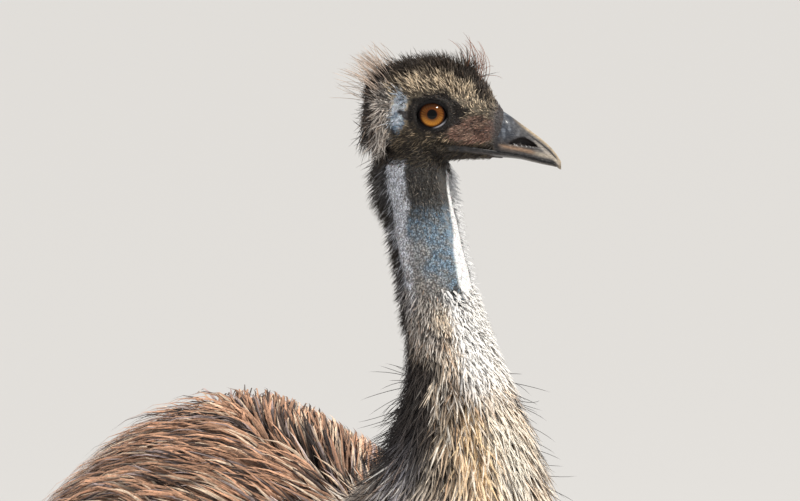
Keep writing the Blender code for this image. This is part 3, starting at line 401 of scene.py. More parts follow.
def stand_off(p, soft=0.03):
    """How far each point stands off the rounded join of the trunk and limbs."""
    value = FIELDS[0](p)
    for field in FIELDS[1:]:
        value = smooth_min(value, field(p), soft)
    return value


def height_and_normal(p):
    """How high each point is over the bird's rounded form, and the way out from it."""
    reach = 0.003
    around = [p] + [p + reach * np.eye(3)[n] for n in range(3)]
    value = stand_off(np.concatenate(around)).reshape(4, len(p))
    slope = (value[1:] - value[0]).T / reach
    steep = np.maximum(np.linalg.norm(slope, axis=1), 1e-6)
    return value[0] / np.maximum(steep, 0.35), slope / steep[:, None]


def neck_place(p):
    """Key along the neck, angle from the throat to the bird's right, and the neck's direction."""
    _, key = NECK_LIMB.nearest(p)
    values, across, back, along = NECK_LIMB.frames(key)
    offset = p - values[:, :3]
    turn = np.arctan2(-(offset * across).sum(1), -(offset * back).sum(1))
    return key, np.degrees(turn), along


# Meshes and materials


def shell(across, along, place):
    """A closed shell from a grid, whose two directions from 0 to 1 place turns into points."""
    work = bmesh.new()
    bmesh.ops.create_grid(work, x_segments=across, y_segments=along, size=0.5)
    flat = np.array([v.co[:] for v in work.verts])
    for vert, point in zip(work.verts, place(flat[:, 0] + 0.5, flat[:, 1] + 0.5)):
        vert.co = point
    bmesh.ops.remove_doubles(work, verts=work.verts, dist=1e-6)
    rim = [edge for edge in work.edges if edge.is_boundary]
    bmesh.ops.holes_fill(work, edges=rim, sides=0)
    bmesh.ops.recalc_face_normals(work, faces=work.faces)
    return work


def mesh_of(name, works):
    """One mesh from several bmeshes, which are then freed."""
    whole = bmesh.new()
    for work in works:
        part = bpy.data.meshes.new("part")
        work.to_mesh(part)
        work.free()
        whole.from_mesh(part)
        bpy.data.meshes.remove(part)
    mesh = bpy.data.meshes.new(name)
    whole.to_mesh(mesh)
    whole.free()
    return mesh


def fused(name, works, voxel, rounds):
    """The works joined as one skin by a voxel remesh, then smoothed."""
    made = bpy.data.objects.new(name, mesh_of(name, works))
    bpy.context.scene.collection.objects.link(made)
    step = made.modifiers.new("fuse", "REMESH")
    step.mode = "VOXEL"
    step.voxel_size = voxel
    step = made.modifiers.new("smooth", "SMOOTH")
    step.factor = 0.5
    step.iterations = rounds
    graph = bpy.context.evaluated_depsgraph_get()
    mesh = bpy.data.meshes.new_from_object(made.evaluated_get(graph))
    bpy.data.objects.remove(made)
    mesh.name = name
    return mesh


def points_of(mesh):
    points = np.empty(len(mesh.vertices) * 3, np.float32)
    mesh.vertices.foreach_get("co", points)
    return points.reshape(-1, 3).astype(float)


def normals_of(mesh):
    normals = np.empty(len(mesh.vertices) * 3, np.float32)
    mesh.vertex_normals.foreach_get("vector", normals)
    return normals.reshape(-1, 3).astype(float)


def move_points(mesh, points):
    mesh.vertices.foreach_set("co", np.asarray(points, np.float32).ravel())
    mesh.update()


def paint(mesh, name, colour):
    """A colour attribute on the points."""
    layer = mesh.color_attributes.new(name, "FLOAT_COLOR", "POINT")
    rgba = np.ones((len(mesh.vertices), 4), np.float32)
    rgba[:, :3] = colour
    layer.data.foreach_set("color", rgba.ravel())


def piece(name, mesh, material, replaces=(), smooth=True):
    """A finished piece of the bird, moved into the frame of the solids."""
    move_points(mesh, points_of(mesh) + SHIFT)
    mesh.name = name
    mesh.materials.clear()
    mesh.materials.append(material)
    mesh.polygons.foreach_set("use_smooth", np.full(len(mesh.polygons), smooth))
    made = bpy.data.objects.new(name, mesh)
    bpy.context.scene.collection.objects.link(made)
    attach(made, "root")
    if replaces:
        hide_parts(*replaces)


class Surface:
    """A Principled material whose colour comes from the tint attribute, broken up by noise."""

    def __init__(self, name, **values):
        self.material = bpy.data.materials.new(name)
        self.material.use_nodes = True
        self.nodes = self.material.node_tree.nodes
        self.links = self.material.node_tree.links
        self.shader = self.nodes["Principled BSDF"]
        for key, value in values.items():
            self.shader.inputs[key.replace("_", " ")].default_value = value
        self.place = self.nodes.new("ShaderNodeTexCoord").outputs["Object"]
        tint = self.nodes.new("ShaderNodeAttribute")
        tint.attribute_name = "tint"
        self.colour = tint.outputs["Color"]
        self.height = None

    def spots(self, scale, detail, stretch=(1, 1, 1)):
        """Noise of that many patches a metre."""
        turn = self.nodes.new("ShaderNodeMapping")
        turn.inputs["Scale"].default_value = stretch
        self.links.new(self.place, turn.inputs["Vector"])
        made = self.nodes.new("ShaderNodeTexNoise")
        made.inputs["Scale"].default_value = scale
        made.inputs["Detail"].default_value = detail
        made.inputs["Roughness"].default_value = 0.6
        self.links.new(turn.outputs["Vector"], made.inputs["Vector"])
        return made.outputs["Fac"]

    def cells(self, scale):
        """How far it is to the middle of the nearest cell, of that many a metre."""
        made = self.nodes.new("ShaderNodeTexVoronoi")
        made.inputs["Scale"].default_value = scale
        self.links.new(self.place, made.inputs["Vector"])
        return made.outputs["Distance"]

    def between(self, value, low, high, to_low=0.0, to_high=1.0):
        made = self.nodes.new("ShaderNodeMapRange")
        for key, number in zip(("From Min", "From Max", "To Min", "To Max"), (low, high, to_low, to_high)):
            made.inputs[key].default_value = number
        self.links.new(value, made.inputs["Value"])
        return made.outputs["Result"]

    def shade(self, value, low, high, dark, light):
        """Scales the colour from dark to light as the value goes from low to high."""
        factor = self.between(value, low, high, dark, light)
        made = self.nodes.new("ShaderNodeVectorMath")
        made.operation = "SCALE"
        self.links.new(self.colour, made.inputs[0])
        self.links.new(factor, made.inputs["Scale"])
        self.colour = made.outputs["Vector"]

    def mottle(self, value, low, high, dark, light):
        """Like shade, by as much as the mottle attribute says."""
        share = self.nodes.new("ShaderNodeAttribute")
        share.attribute_name = "mottle"
        factor = self.nodes.new("ShaderNodeMix")
        factor.inputs["A"].default_value = 1.0
        self.links.new(share.outputs["Fac"], factor.inputs["Factor"])
        self.links.new(self.between(value, low, high, dark, light), factor.inputs["B"])
        self.shade(factor.outputs["Result"], 0.0, 2.0, 0.0, 2.0)

    def stain(self, value, low, high, colour):
        """Mixes in a colour where the value goes from low to high."""
        made = self.nodes.new("ShaderNodeMix")
        made.data_type = "RGBA"
        self.links.new(self.between(value, low, high), made.inputs["Factor"])
        self.links.new(self.colour, made.inputs["A"])
        made.inputs["B"].default_value = (*colour, 1.0)
        self.colour = made.outputs["Result"]

    def raised(self, value, depth):
        """Adds a bump of that depth in metres."""
        made = self.nodes.new("ShaderNodeBump")
        made.inputs["Distance"].default_value = depth
        self.links.new(value, made.inputs["Height"])
        if self.height:
            self.links.new(self.height, made.inputs["Normal"])
        self.height = made.outputs["Normal"]

    def done(self):
        self.links.new(self.colour, self.shader.inputs["Base Color"])
        if self.height:
            self.links.new(self.height, self.shader.inputs["Normal"])
        return self.material


def skin_material():
    made = Surface(
        "skin", Roughness=0.62, Subsurface_Weight=0.08, Subsurface_Scale=0.004, Specular_IOR_Level=0.35
    )
    made.shade(made.spots(420, 4), 0.3, 0.7, 0.62, 1.30)
    made.mottle(made.cells(560), 0.10, 0.62, 1.6, 0.35)
    made.stain(made.spots(900, 3), 0.60, 0.70, (0.03, 0.028, 0.03))
    made.raised(made.spots(650, 4), 0.0012)
    made.raised(made.cells(520), 0.0007)
    return made.done()


def undercoat_material():
    made = Surface("undercoat", Roughness=0.9, Specular_IOR_Level=0.15)
    made.shade(made.spots(180, 4), 0.3, 0.7, 0.5, 1.3)
    made.raised(made.spots(320, 4, stretch=(1, 0.3, 1)), 0.004)
    return made.done()


def feather_material():
    made = Surface("feather", Roughness=0.48, Specular_IOR_Level=0.42, Sheen_Weight=0.10, Sheen_Roughness=0.4)
    made.shade(made.spots(260, 3), 0.32, 0.68, 0.72, 1.22)
    made.raised(made.spots(1500, 2), 0.0004)
    return made.done()


def hair_material():
    made = Surface("hair", Roughness=0.42, Specular_IOR_Level=0.4)
    made.shade(made.spots(300, 2), 0.3, 0.7, 0.8, 1.2)
    return made.done()


def horn_material():
    made = Surface("bill_horn", Roughness=0.40, Coat_Weight=0.15, Coat_Roughness=0.18, Specular_IOR_Level=0.4)
    made.shade(made.spots(260, 5, stretch=(1, 1, 3)), 0.3, 0.7, 0.6, 1.35)
    made.stain(made.spots(700, 4), 0.64, 0.76, (0.17, 0.15, 0.13))
    made.raised(made.spots(480, 4, stretch=(1, 1, 2.5)), 0.0007)
    return made.done()


def eye_material():
    made = Surface("eye", Roughness=0.5, Coat_Weight=0.45, Coat_Roughness=0.02, Specular_IOR_Level=0.0)
    made.shade(made.spots(1800, 2), 0.3, 0.7, 0.85, 1.15)
    return made.done()


def lid_material():
    made = Surface("lid", Roughness=0.55, Specular_IOR_Level=0.25)
    made.raised(made.spots(1400, 3), 0.0006)
    made.shade(made.spots(900, 3), 0.3, 0.7, 0.7, 1.3)
    return made.done()


def scale_material():
    made = Surface("leg_scales", Roughness=0.5, Specular_IOR_Level=0.45)
    made.shade(made.spots(160, 5), 0.3, 0.7, 0.7, 1.25)
    made.shade(made.cells(330), 0.0, 0.5, 1.15, 0.75)
    made.raised(made.between(made.cells(330), 0.1, 0.55, 1.0, 0.0), 0.0016)
    made.raised(made.spots(900, 3), 0.0005)
    return made.done()


def claw_material():
    made = Surface("claw_horn", Roughness=0.35, Coat_Weight=0.2, Coat_Roughness=0.3)
    made.shade(made.spots(300, 5), 0.3, 0.7, 0.6, 1.5)
    made.raised(made.spots(420, 4), 0.0008)
    return made.done()


# Markings, the same on skin and coat


def face_tint(points):
    """The markings of the head at points on or near its skin, with painted light and shade on the face."""
    forward, left, up = head_axes(points)
    side = np.abs(left)
    top = smooth_rows(HEAD, forward)[:, 0]
    wander = patchy(points, 0.006, 1) * 3.0
    fine = patchy(points, 0.0025, 31)
    # Straw above and olive below: partly the bristles' colours, partly painted light on the brow and painted
    # shade on the cheek.
    colour = mix(STRAW, OLIVE, ramp(up + wander, 7, -14))
    colour = mix(colour, HAY, ramp(fine, 0.1, 0.7) * ramp(up, 0, -12) * 0.7)
    fuzz = ramp(forward, -34, -38) * ramp(up, -40, -28)
    colour = mix(colour, mix(FUZZ, FUZZ_SHADE, ramp(fine, -0.1, 0.8)), fuzz)
    crown = ramp(up - top + wander + 0.10 * np.maximum(forward - 8, 0), -14, -7) * ramp(forward, 60, 48)
    colour = mix(colour, DARK, crown * 0.95)
    colour = mix(colour, DARK, ramp(side + wander, 17, 10) * ramp(forward, -24, -34) * 0.94)
    colour = mix(colour, DARK, ramp(forward + 0.7 * wander, -49.5, -53.5) * 0.9)
    lores = ramp(((forward - 36) / 26) ** 2 + ((up + 13) / 13) ** 2 + 0.08 * wander, 1.25, 0.6)
    lore_colour = mix(RUST, PALE_RUST, ramp(wander, -1, 3))
    colour = mix(colour, mix(lore_colour, DARK_RUST, ramp(fine, 0.15, 0.6) * 0.8), lores)
    beside, above = forward - PATCH[0], up - PATCH[1]
    across = (beside - 0.16 * above) / 7.4
    patch = ramp(across**2 + (above / 20.5) ** 2 + 0.10 * wander + 0.25 * fine, 1.2, 0.5)
    inner = mix(PATCH_PALE, PATCH_BLUE, ramp(patchy(points, 0.007, 5) - 0.05 * above, -0.1, 0.7))
    inner = mix(inner, PATCH_WHITE, ramp(patchy(points, 0.005, 15), 0.1, 0.7) * 0.8)
    colour = mix(colour, inner, patch * ramp(side, 10, 16) * 0.92)
    rim = np.abs(up - 2)
    almond = ((forward - 2.5) / (31.0 - 0.45 * rim)) ** 2 + ((up - 1.5) / 18.0) ** 2
    near_eye = ramp(almond + wander * 0.10 + fine * 0.10, 1.12, 0.80)
    colour = mix(colour, DARK, near_eye * ramp(side, 8, 14) * 0.95)
    jaw = ramp(up + 0.4 * wander, -23, -31) * ramp(forward, 66, 40) * ramp(forward, -50, -38)
    colour = mix(colour, JAW, jaw * 0.85)
    return mix(colour, CERE, ramp(forward + 0.5 * wander - 0.25 * np.maximum(up, 0), 48, 58))


def bare_skin_share(points):
    """1 where the head shows its skin: the patch behind the eye, the lores, the base of the bill."""
    forward, _, up = head_axes(points)
    patch = ramp(((forward - PATCH[0]) / 8.5) ** 2 + ((up - PATCH[1]) / 21) ** 2, 1.2, 0.7)
    lores = ramp(((forward - 40) / 26) ** 2 + ((up + 15) / 14) ** 2, 1.2, 0.8)
    return np.maximum(np.maximum(patch, lores), ramp(forward, 50, 56))


def neck_tint(points):
    """The neck's markings, blue skin above and a cream and black ruff below, with painted light and shade."""
    _, turn, _ = neck_place(points)
    height = points[:, 2]
    wander = patchy(points, 0.018, 2)
    fine = patchy(points, 0.005, 3)
    around = np.abs(turn)
    blue = mix(BLUE, GREY_BLUE, ramp(fine, -0.5, 0.7) * 0.8)
    blue = mix(blue, WORN_GREY, ramp(around + 14 * wander, 36, 54) * ramp(height, 1.305, 1.280) * 0.8)
    blue = mix(blue, WARM_GREY, ramp(height + 0.006 * wander, 1.272, 1.250) * ramp(turn, 4, 20) * 0.7)
    # Painted shadow of the head, darkening the top of the neck in front and at the sides.
    shaded_top = ramp(height + 0.006 * wander, 1.298, 1.330)
    blue = mix(blue, HEAD_SHADOW, shaded_top * ramp(around, 84, 56) * 0.92)
    # The pale strip down the neck's sides: partly paler skin, partly painted sunlight beside the head's
    # shadow.
    pale = mix(PALE_SKIN, PALE_SKIN_SHADE, ramp(fine + 12 * (1.280 - height), -0.4, 0.7) * 0.85)
    wider = 250 * (1.35 - height)
    bare = mix(blue, pale, ramp(around + 7 * wander, 42 + wider, 54 + wider))
    # Pale skin on the throat and the neck's left side, painted white as in full sunlight.
    edge = -6 - 26 * ramp(height, 1.250, 1.345)
    bare = mix(bare, SUNLIT_THROAT, ramp(turn + 4 * wander - edge, 0, -7) * ramp(around, 106, 84))
    bare = mix(bare, DARK, ramp(turn + 9 * wander, 99, 113))
    bare = mix(bare, DARK, ramp(-turn + 9 * wander, 92, 108))
    spots = np.clip(1.5 * hump(turn, 1, 10) * hump(height, 1.236, 0.020), 0, 1) * ramp(fine, -0.05, 0.2)
    ruff = mix(CREAM, SAND, ramp(wander, 0.0, 0.8))
    # Whiter high on the ruff's front: partly pale feathers, partly painted sunlight.
    ruff = mix(ruff, WARM_WHITE, ramp(height, 1.175, 1.205) * ramp(turn, 26, 6))
    ruff = mix(ruff, DOVE_GREY, ramp(height, 1.18, 1.215) * ramp(turn + 6 * wander, 30, 52) * 0.8)
    dark = np.clip(1.3 * hump(turn, 30, 24) * hump(height, 1.163, 0.026), 0, 0.94)
    ruff = mix(ruff, UMBER, dark)
    ruff = mix(ruff, MOUSE_GREY, ramp(height, 1.120, 1.07) * ramp(turn, 10, 40) * 0.75)
    ruff = mix(ruff, FAWN, ramp(height, 1.075, 1.03) * 0.6)
    # A bright ivory to apricot patch low on the neck's front: partly paler feathers, partly painted sunlight.
    bright = np.clip(1.8 * hump(turn, -2, 32) * hump(height, 1.126, 0.030), 0, 1)
    ruff = mix(ruff, mix(IVORY, APRICOT, ramp(turn, -2, 16)), bright)
    side = np.maximum(ramp(turn + 12 * wander, 46, 58), ramp(-turn + 12 * wander, 44, 58) * 0.95)
    ruff = mix(ruff, DARK, side * ramp(height, 1.090, 1.110) * ramp(height, 1.212, 1.185) * 0.97)
    ruff = mix(ruff, DARK, ramp(around + 8 * wander, 90, 106) * ramp(height, 1.07, 1.11) * 0.93)
    ruff = mix(ruff, LILAC_GREY, hump(turn, 84, 14) * hump(height, 1.092, 0.030) * 0.85)
    return mix(mix(ruff, bare, ramp(height + 0.008 * wander, 1.226, 1.250)), BLACK, spots)


def body_tint(points):
    """The markings of the trunk: brown and tan in patches, darker low on the rump and the thighs."""
    colour = mix(BROWN, TAN, 0.5 + 0.35 * patchy(points, 0.06, 4))
    return mix(colour, np.array(BROWN) * 0.55, ramp(points[:, 2], 0.72, 0.56) * 0.7)


def coat_tint(points):
    return mix(body_tint(points), neck_tint(points), neck_share(points))


def neck_share(points):
    """1 on the neck, 0 on the trunk, soft over the breast and the back's root."""
    gap = NECK_LIMB.outside(points) - trunk_outside(points)
    return ramp(gap, 0.035, -0.035) * ramp(points[:, 2], 0.93, 1.03)


def head_share(points):
    forward, _, up = head_axes(points)
    return ramp(up + 0.10 * forward, -50, -40)


def skin_tint(points):
    """The skin's markings, darker under the bristles of the head as painted shade."""
    # Painted shade: the face's skin is 0.3 of its colour where bristles cover it.
    face = face_tint(points) * mix((0.30,), (1.0,), bare_skin_share(points))
    return mix(neck_tint(points), face, head_share(points))


def mottled_share(points):
    """How strongly the skin is speckled: most on the blue of the neck, not on the white throat."""
    _, turn, _ = neck_place(points)
    return mix((1 - ramp(turn, -4, -14)[:, None]) * 0.95, (0.35,), head_share(points))[:, 0]


# Skins


def head_surface(u, v):
    """The head's skin: u goes round it and v from the back of the skull to the bill."""
    forward = -58.5 + 122.5 * (0.5 - 0.5 * np.cos(np.pi * v))
    top, bottom, half = smooth_rows(HEAD, forward).T
    angle = math.tau * u
    across, rise = np.sin(angle), np.cos(angle)
    power = 2 / 2.25
    return on_head(
        forward,
        np.sign(across) * half * np.abs(across) ** power,
        (top + bottom) / 2 + np.sign(rise) * (top - bottom) / 2 * np.abs(rise) ** power,
    )


def mouth_line(forward):
    """The height of the line of the mouth."""
    return smooth_rows(BILL, forward)[:, 1]


def sculpt_head(mesh):
    """Brow, hollow lores, orbit, jaw line and ear, pressed into the head's skin."""
    points = points_of(mesh)
    forward, left, up = head_axes(points)
    side, sign = np.abs(left), np.sign(left)
    flank = ramp(side, 9, 16) * head_share(points)
    rim = np.hypot(forward / 1.12, up)
    push = 2.4 * hump(forward, -1, 18) * hump(up, 16.5, 4.0)
    push += 1.2 * hump(forward, 24, 14) * hump(up - 14 + 0.25 * forward, 0, 3.5)
    push -= 2.6 * hump(forward, 27, 9) * hump(up, -3, 7)
    push -= 1.4 * hump(rim, 18.5, 2.6) * (rim > 10)
    push += 1.5 * hump(up - mouth_line(forward), 4.5, 2.6) * ramp(forward, -8, 8) * ramp(forward, 60, 48)
    push -= 2.0 * hump(up - mouth_line(forward), 0, 1.0) * ramp(forward, -6, 2)
    push -= 1.6 * hump(forward, -33, 9) * hump(up, 2, 14)
    ear = np.hypot(forward - EAR[0], up - EAR[1])
    push += 0.9 * hump(ear, EAR[2] + 1.0, 1.4) - 3.4 * hump(ear, 0, EAR[2] * 0.62)
    side = side + push * flank
    sunk = EYE_OUT + np.sqrt(np.clip(EYE_RADIUS**2 - rim**2, 0, None)) - 2.6
    side = np.where((rim < 12.9) & (side > 12), np.minimum(side, sunk), side)
    place = on_head(forward, sign * side, up)
    low = head_share(points) < 0.5
    place[low] = points[low] + normals_of(mesh)[low] * (patchy(points[low], 0.02, 6) * 0.0007)[:, None]
    move_points(mesh, place)


def neck_shell(first, last, inset):
    """The neck's skin between two of its stations."""
    def place(u, v):
        keys = first + (last - first) * v
        return NECK_LIMB.surface(keys, math.tau * u, inset)

    return shell(72, 90, place)


def make_head_skin(material):
    works = [shell(96, 110, head_surface), neck_shell(5.5, 11.0, -0.0012)]
    mesh = fused("skin_head", works, voxel=0.00125, rounds=9)
    sculpt_head(mesh)
    points = points_of(mesh)
    paint(mesh, "tint", skin_tint(points))
    paint(mesh, "mottle", mottled_share(points)[:, None])
    skin = Skin(mesh)
    piece("skin_head", mesh, material, ("head", "neck_upper"))
    return skin


def make_body_skin(material):
    def trunk(u, v):
        return trunk_surface(np.sin(np.pi * (v - 0.5)) * 0.9995, math.tau * u)

    works = [shell(90, 60, trunk), neck_shell(0.0, 5.9, -0.0015)]
    for limb, last, steps in ((TAIL_LIMB, 3.0, 40), (LEGS["left"], 5.1, 50), (LEGS["right"], 5.1, 50)):
        works.append(shell(48, steps, lambda u, v: limb.surface(last * v, math.tau * u, -0.001)))
    for side in (1, -1):
        arm = Limb(WING, side)
        works.append(shell(24, 40, lambda u, v: arm.surface(4.0 * v, math.tau * u)))
    mesh = fused("skin_body", works, voxel=0.0055, rounds=12)
    points = points_of(mesh)
    paint(mesh, "tint", mix(UNDERCOAT, coat_tint(points) * 0.5, neck_share(points)))
    skin = Skin(mesh)
    nodes = ["neck_middle", "neck_base", "trunk", "tail"]
    nodes += [f"{part}_{side}" for part in ("wing", "drumstick") for side in ("left", "right")]
    piece("skin_body", mesh, material, nodes)
    return skin


class Skin:
    """The triangles of a skin, to root a coat on."""

    def __init__(self, mesh):
        mesh.calc_loop_triangles()
        faces = np.empty(len(mesh.loop_triangles) * 3, np.int32)
        mesh.loop_triangles.foreach_get("vertices", faces)
        self.faces = faces.reshape(-1, 3)
        self.points, self.normals = points_of(mesh), normals_of(mesh)
        corners = self.points[self.faces]
        cross = np.cross(corners[:, 1] - corners[:, 0], corners[:, 2] - corners[:, 0])
        self.area = np.linalg.norm(cross, axis=1) / 2
        self.middles = corners.mean(1)

    def roots(self, count, weight, draw):
        """Points and normals, spread evenly for the weight, in the order of the skin's faces."""
        share = np.cumsum(self.area * weight(self.middles))
        picks = np.searchsorted(share, (np.arange(count) + draw.random(count)) / count * share[-1])
        picks = np.clip(picks, 0, len(self.faces) - 1)
        a, b = draw.random(count), draw.random(count)
        a, b = np.where(a + b > 1, 1 - a, a), np.where(a + b > 1, 1 - b, b)
        weights = np.stack((1 - a - b, a, b), axis=1)[:, :, None]
        return (
            (self.points[self.faces[picks]] * weights).sum(1),
            unit((self.normals[self.faces[picks]] * weights).sum(1)),
        )


# Bill, eyes and lids


def bill_edge(forward):
    """The lower edge of the upper bill, which hooks over the tip."""
    return mouth_line(forward) - 3.6 * ramp(forward, 107.5, 114.5)


def nostril_mask(forward, up, wider=0.0):
    """1 in the nostril, which is arched above a straight lower edge."""
    base = -25.4 - (forward - 67) * 0.085 - wider
    high = (6.3 + wider) * np.clip(1 - np.abs((forward - 81.0) / (13.2 + wider)) ** 1.5, 0, 1) + wider
    return ramp(up - base, -0.5, 0.5) * ramp(base + high - up, -0.5, 0.5) * ramp(high, 0.2, 1.4)


def upper_bill_surface(u, v):
    forward = 54.0 + 61.5 * np.sin(np.pi / 2 * v) ** 0.9
    ridge, _, _, half = smooth_rows(BILL, forward).T
    edge = bill_edge(forward)
    angle = math.tau * u
    across, rise = np.cos(angle), np.sin(angle)
    swell = 2.4 * hump(forward, 67, 8) * hump(rise, 0.60, 0.34)
    out = np.where(rise > 0, (ridge - edge) * np.abs(rise) ** 0.82, -0.9 * np.abs(rise) ** 0.5)
    up = edge + out + swell * 0.45
    narrower = 1 - 0.10 * ramp(forward, 74, 92) * (rise > 0) * rise
    side = half * np.sign(across) * np.abs(across) ** 0.92 * narrower
    side = side * (1 - 0.16 * ramp(forward, 60, 54)) + np.sign(across) * swell
    below = 6.2 - 0.035 * (forward - 80)
    groove = hump(ridge - up, below, 0.75) * ramp(forward, 80, 92) * ramp(forward, 114, 108)
    lip = hump(up - edge, 3.4, 0.7) * ramp(forward, 74, 84) * ramp(forward, 112, 104)
    carve = 0.75 * groove + 0.45 * lip + 4.2 * nostril_mask(forward, up)
    side = side - np.sign(across) * carve * (rise > 0)
    return on_head(forward, side, up)


def bill_tint(points):
    forward, _, up = head_axes(points)
    ridge = smooth_rows(BILL, forward)[:, 0]
    edge = bill_edge(forward)
    streak = patchy(points * np.array((0.6, 0.6, 2.2)), 0.004, 8)
    mottle = patchy(points, 0.0045, 32)
    colour = mix(HORN, HORN_STREAK, ramp(streak, -0.4, 0.8))
    swell = hump(forward, 66, 11) * ramp(up, -26, -16)
    colour = mix(colour, mix(HORN_BLUE, HORN_PALE_BLUE, ramp(mottle, 0.0, 0.7)), swell)
    # Pale along the ridge of the bill: partly pale horn, partly painted highlight along its top.
    colour = mix(colour, RIDGE, hump(ridge - up, 0.3, 2.4) * ramp(forward, 70, 86) * 0.9)
    colour = mix(colour, FLANK_STRIPE, hump(ridge - up, 8.2, 2.0) * ramp(forward, 88, 98) * 0.75)
    lip = hump(up - edge, 4.6, 1.6) * ramp(forward, 56, 66) * ramp(forward, 96, 88)
    colour = mix(colour, LIP_BROWN, lip * 0.8)
    colour = mix(colour, LIP_TAN, hump(up - edge, 4.4, 2.0) * ramp(forward, 88, 96) * 0.8)
    # Near black just above the upper bill's edge: painted shade in the gap of the mouth.
    colour = mix(colour, (0.014, 0.013, 0.014), hump(up - edge, 0.6, 1.4) * 0.9)
    # Painted shade in the groove below the ridge of the bill.
    below = 5.6 - 0.035 * (forward - 80)
    groove = hump(ridge - up, below, 0.8) * ramp(forward, 80, 90) * ramp(forward, 114, 110)
    colour = mix(colour, (0.020, 0.018, 0.018), groove * 0.85)
    # Painted shade: the nostril and its lower ledge near black, a little wider than the carved hollow.
    colour = mix(colour, (0.010, 0.006, 0.005), nostril_mask(forward, up, wider=0.8))
    colour = mix(colour, (0.40, 0.32, 0.22), ramp(forward, 111, 115) * 0.5)
    return mix(face_tint(points), colour, ramp(forward + 1.5 * mottle - 5 * ramp(up, -6, 2), 54.5, 59))


def lower_bill_surface(u, v):
    forward = 3.5 + 108.0 * np.sin(np.pi / 2 * v) ** 0.9
    _, mouth, under, half = smooth_rows(BILL, forward).T
    half = np.maximum(half - 0.9 - 0.6 * ramp(forward, 95, 111), 0.4)
    angle = math.tau * u
    across, rise = np.cos(angle), np.sin(angle)
    drop = (mouth - 0.4 - under) * (1 + 0.10 * hump(forward, 70, 25))
    up = np.where(rise > 0, mouth - 0.4 - drop * np.abs(rise) ** 0.62, mouth - 0.4 - 0.5 * np.abs(rise))
    return on_head(forward, half * across, up)


def lower_bill_tint(points):
    forward, _, up = head_axes(points)
    mouth, under = smooth_rows(BILL, forward)[:, 1:3].T
    streak = patchy(points, 0.004, 9)
    colour = mix((0.012, 0.012, 0.014), (0.040, 0.037, 0.037), ramp(streak, -0.4, 0.8))
    # A thin pale line just under the mouth line: partly the horn's pale edge, partly painted highlight.
    colour = mix(colour, (0.36, 0.33, 0.30), hump(up - mouth, -0.9, 0.5) * hump(forward, 24, 13) * 0.8)
    colour = mix(colour, (0.16, 0.13, 0.10), hump(up - under, 0.4, 0.7) * ramp(forward, 70, 95) * 0.4)
    return mix(face_tint(points) * 0.6, colour, ramp(forward, 8, 22))


def make_bill(material):
    for name, surface, tint, around, slices in (
        ("bill_upper", upper_bill_surface, bill_tint, 144, 190),
        ("bill_lower", lower_bill_surface, lower_bill_tint, 72, 200),
    ):
        mesh = mesh_of(name, [shell(around, slices, surface)])
        paint(mesh, "tint", tint(points_of(mesh)))
        piece(f"{name}_horn", mesh, material, (name,))


def make_eyes(material, lid, hair):
    places = []
    for side, word in ((1, "left"), (-1, "right")):
        work = bmesh.new()
        bmesh.ops.create_uvsphere(work, u_segments=96, v_segments=96, radius=1.0)
        mesh = mesh_of("eye", [work])
        unit_points = points_of(mesh)
        tilt = np.arccos(np.clip(unit_points[:, 2], -1, 1))
        radius = EYE_RADIUS + 1.1 * hump(tilt, 0, 0.62)
        place = unit_points * radius[:, None]
        move_points(mesh, on_head(place[:, 0], side * (EYE_OUT + place[:, 2]), place[:, 1]))
        if side > 0:
            mesh.flip_normals()
        behind = 20.0
        out = np.where(unit_points[:, 2] > 0, np.hypot(place[:, 0], place[:, 1]), behind)
        angle = np.arctan2(place[:, 1], place[:, 0])
        fibres = 0.5 + 0.22 * np.sin(angle * 23 + out) + 0.16 * np.sin(angle * 41 - out * 2)
        fibres = fibres + 0.12 * np.sin(angle * 67)
        # The iris: its fibres, painted light over its lower part and painted shadow of the lid and brow
        # across its top.
        fibres_and_light = np.clip(fibres * 0.45 + 0.75 * ramp(place[:, 1], 1, -9) - 0.12, 0, 1)
        iris = mix((0.085, 0.024, 0.005), (0.60, 0.235, 0.020), fibres_and_light)
        iris = mix(iris, (0.018, 0.007, 0.004), ramp(place[:, 1], 2.5, 8.5) * 0.85)
        iris = mix(iris, (0.10, 0.025, 0.006), hump(out, PUPIL_RADIUS + 0.4, 1.3) * 0.7)
        iris = mix(iris, (0.05, 0.014, 0.006), ramp(out, IRIS_RADIUS - 1.8, IRIS_RADIUS) * 0.9)
        colour = mix((0.002, 0.002, 0.002), iris, ramp(out, PUPIL_RADIUS - 0.25, PUPIL_RADIUS + 0.25))
        paint(mesh, "tint", mix(colour, (0.012, 0.010, 0.010), ramp(out, IRIS_RADIUS, IRIS_RADIUS + 0.5)))
        piece(f"eyeball_{word}", mesh, material, (f"eye_{word}",))
        places.append((side, make_lids(word, side, lid)))
    make_lashes(places, hair)


def make_lids(word, side, material):
    def place(u, v):
        angle, tube = math.tau * u, math.tau * v
        upper, lower = np.clip(np.sin(angle), 0, 1), np.clip(-np.sin(angle), 0, 1)
        thick = 2.1 + 0.9 * upper + 0.2 * lower
        corner = 1 + 0.17 * np.abs(np.cos(angle)) ** 4
        outer = 1 + 0.35 * (np.cos(tube) > 0)
        reach = (13.1 - 0.5 * upper) * corner + thick * np.cos(tube) * outer
        lateral = 24.4 - 1.5 * np.abs(np.cos(angle)) ** 2 + thick * np.sin(tube) + 0.8 * upper
        lateral = lateral - 1.6 * ramp(np.cos(tube), 0.2, 1.0)
        return on_head(reach * np.cos(angle), side * lateral, reach * np.sin(angle))

    mesh = mesh_of("lids", [shell(96, 28, place)])
    forward, _, up = head_axes(points_of(mesh))
    rim = np.hypot(forward / 1.15, up)
    glint = ramp(rim, 12.6, 11.8) * ramp(up, -3, -7) * ramp(forward, -1, 5)
    paint(mesh, "tint", mix((0.010, 0.009, 0.009), (0.34, 0.33, 0.36), glint * 0.8))
    piece(f"lids_{word}", mesh, material)
    return place


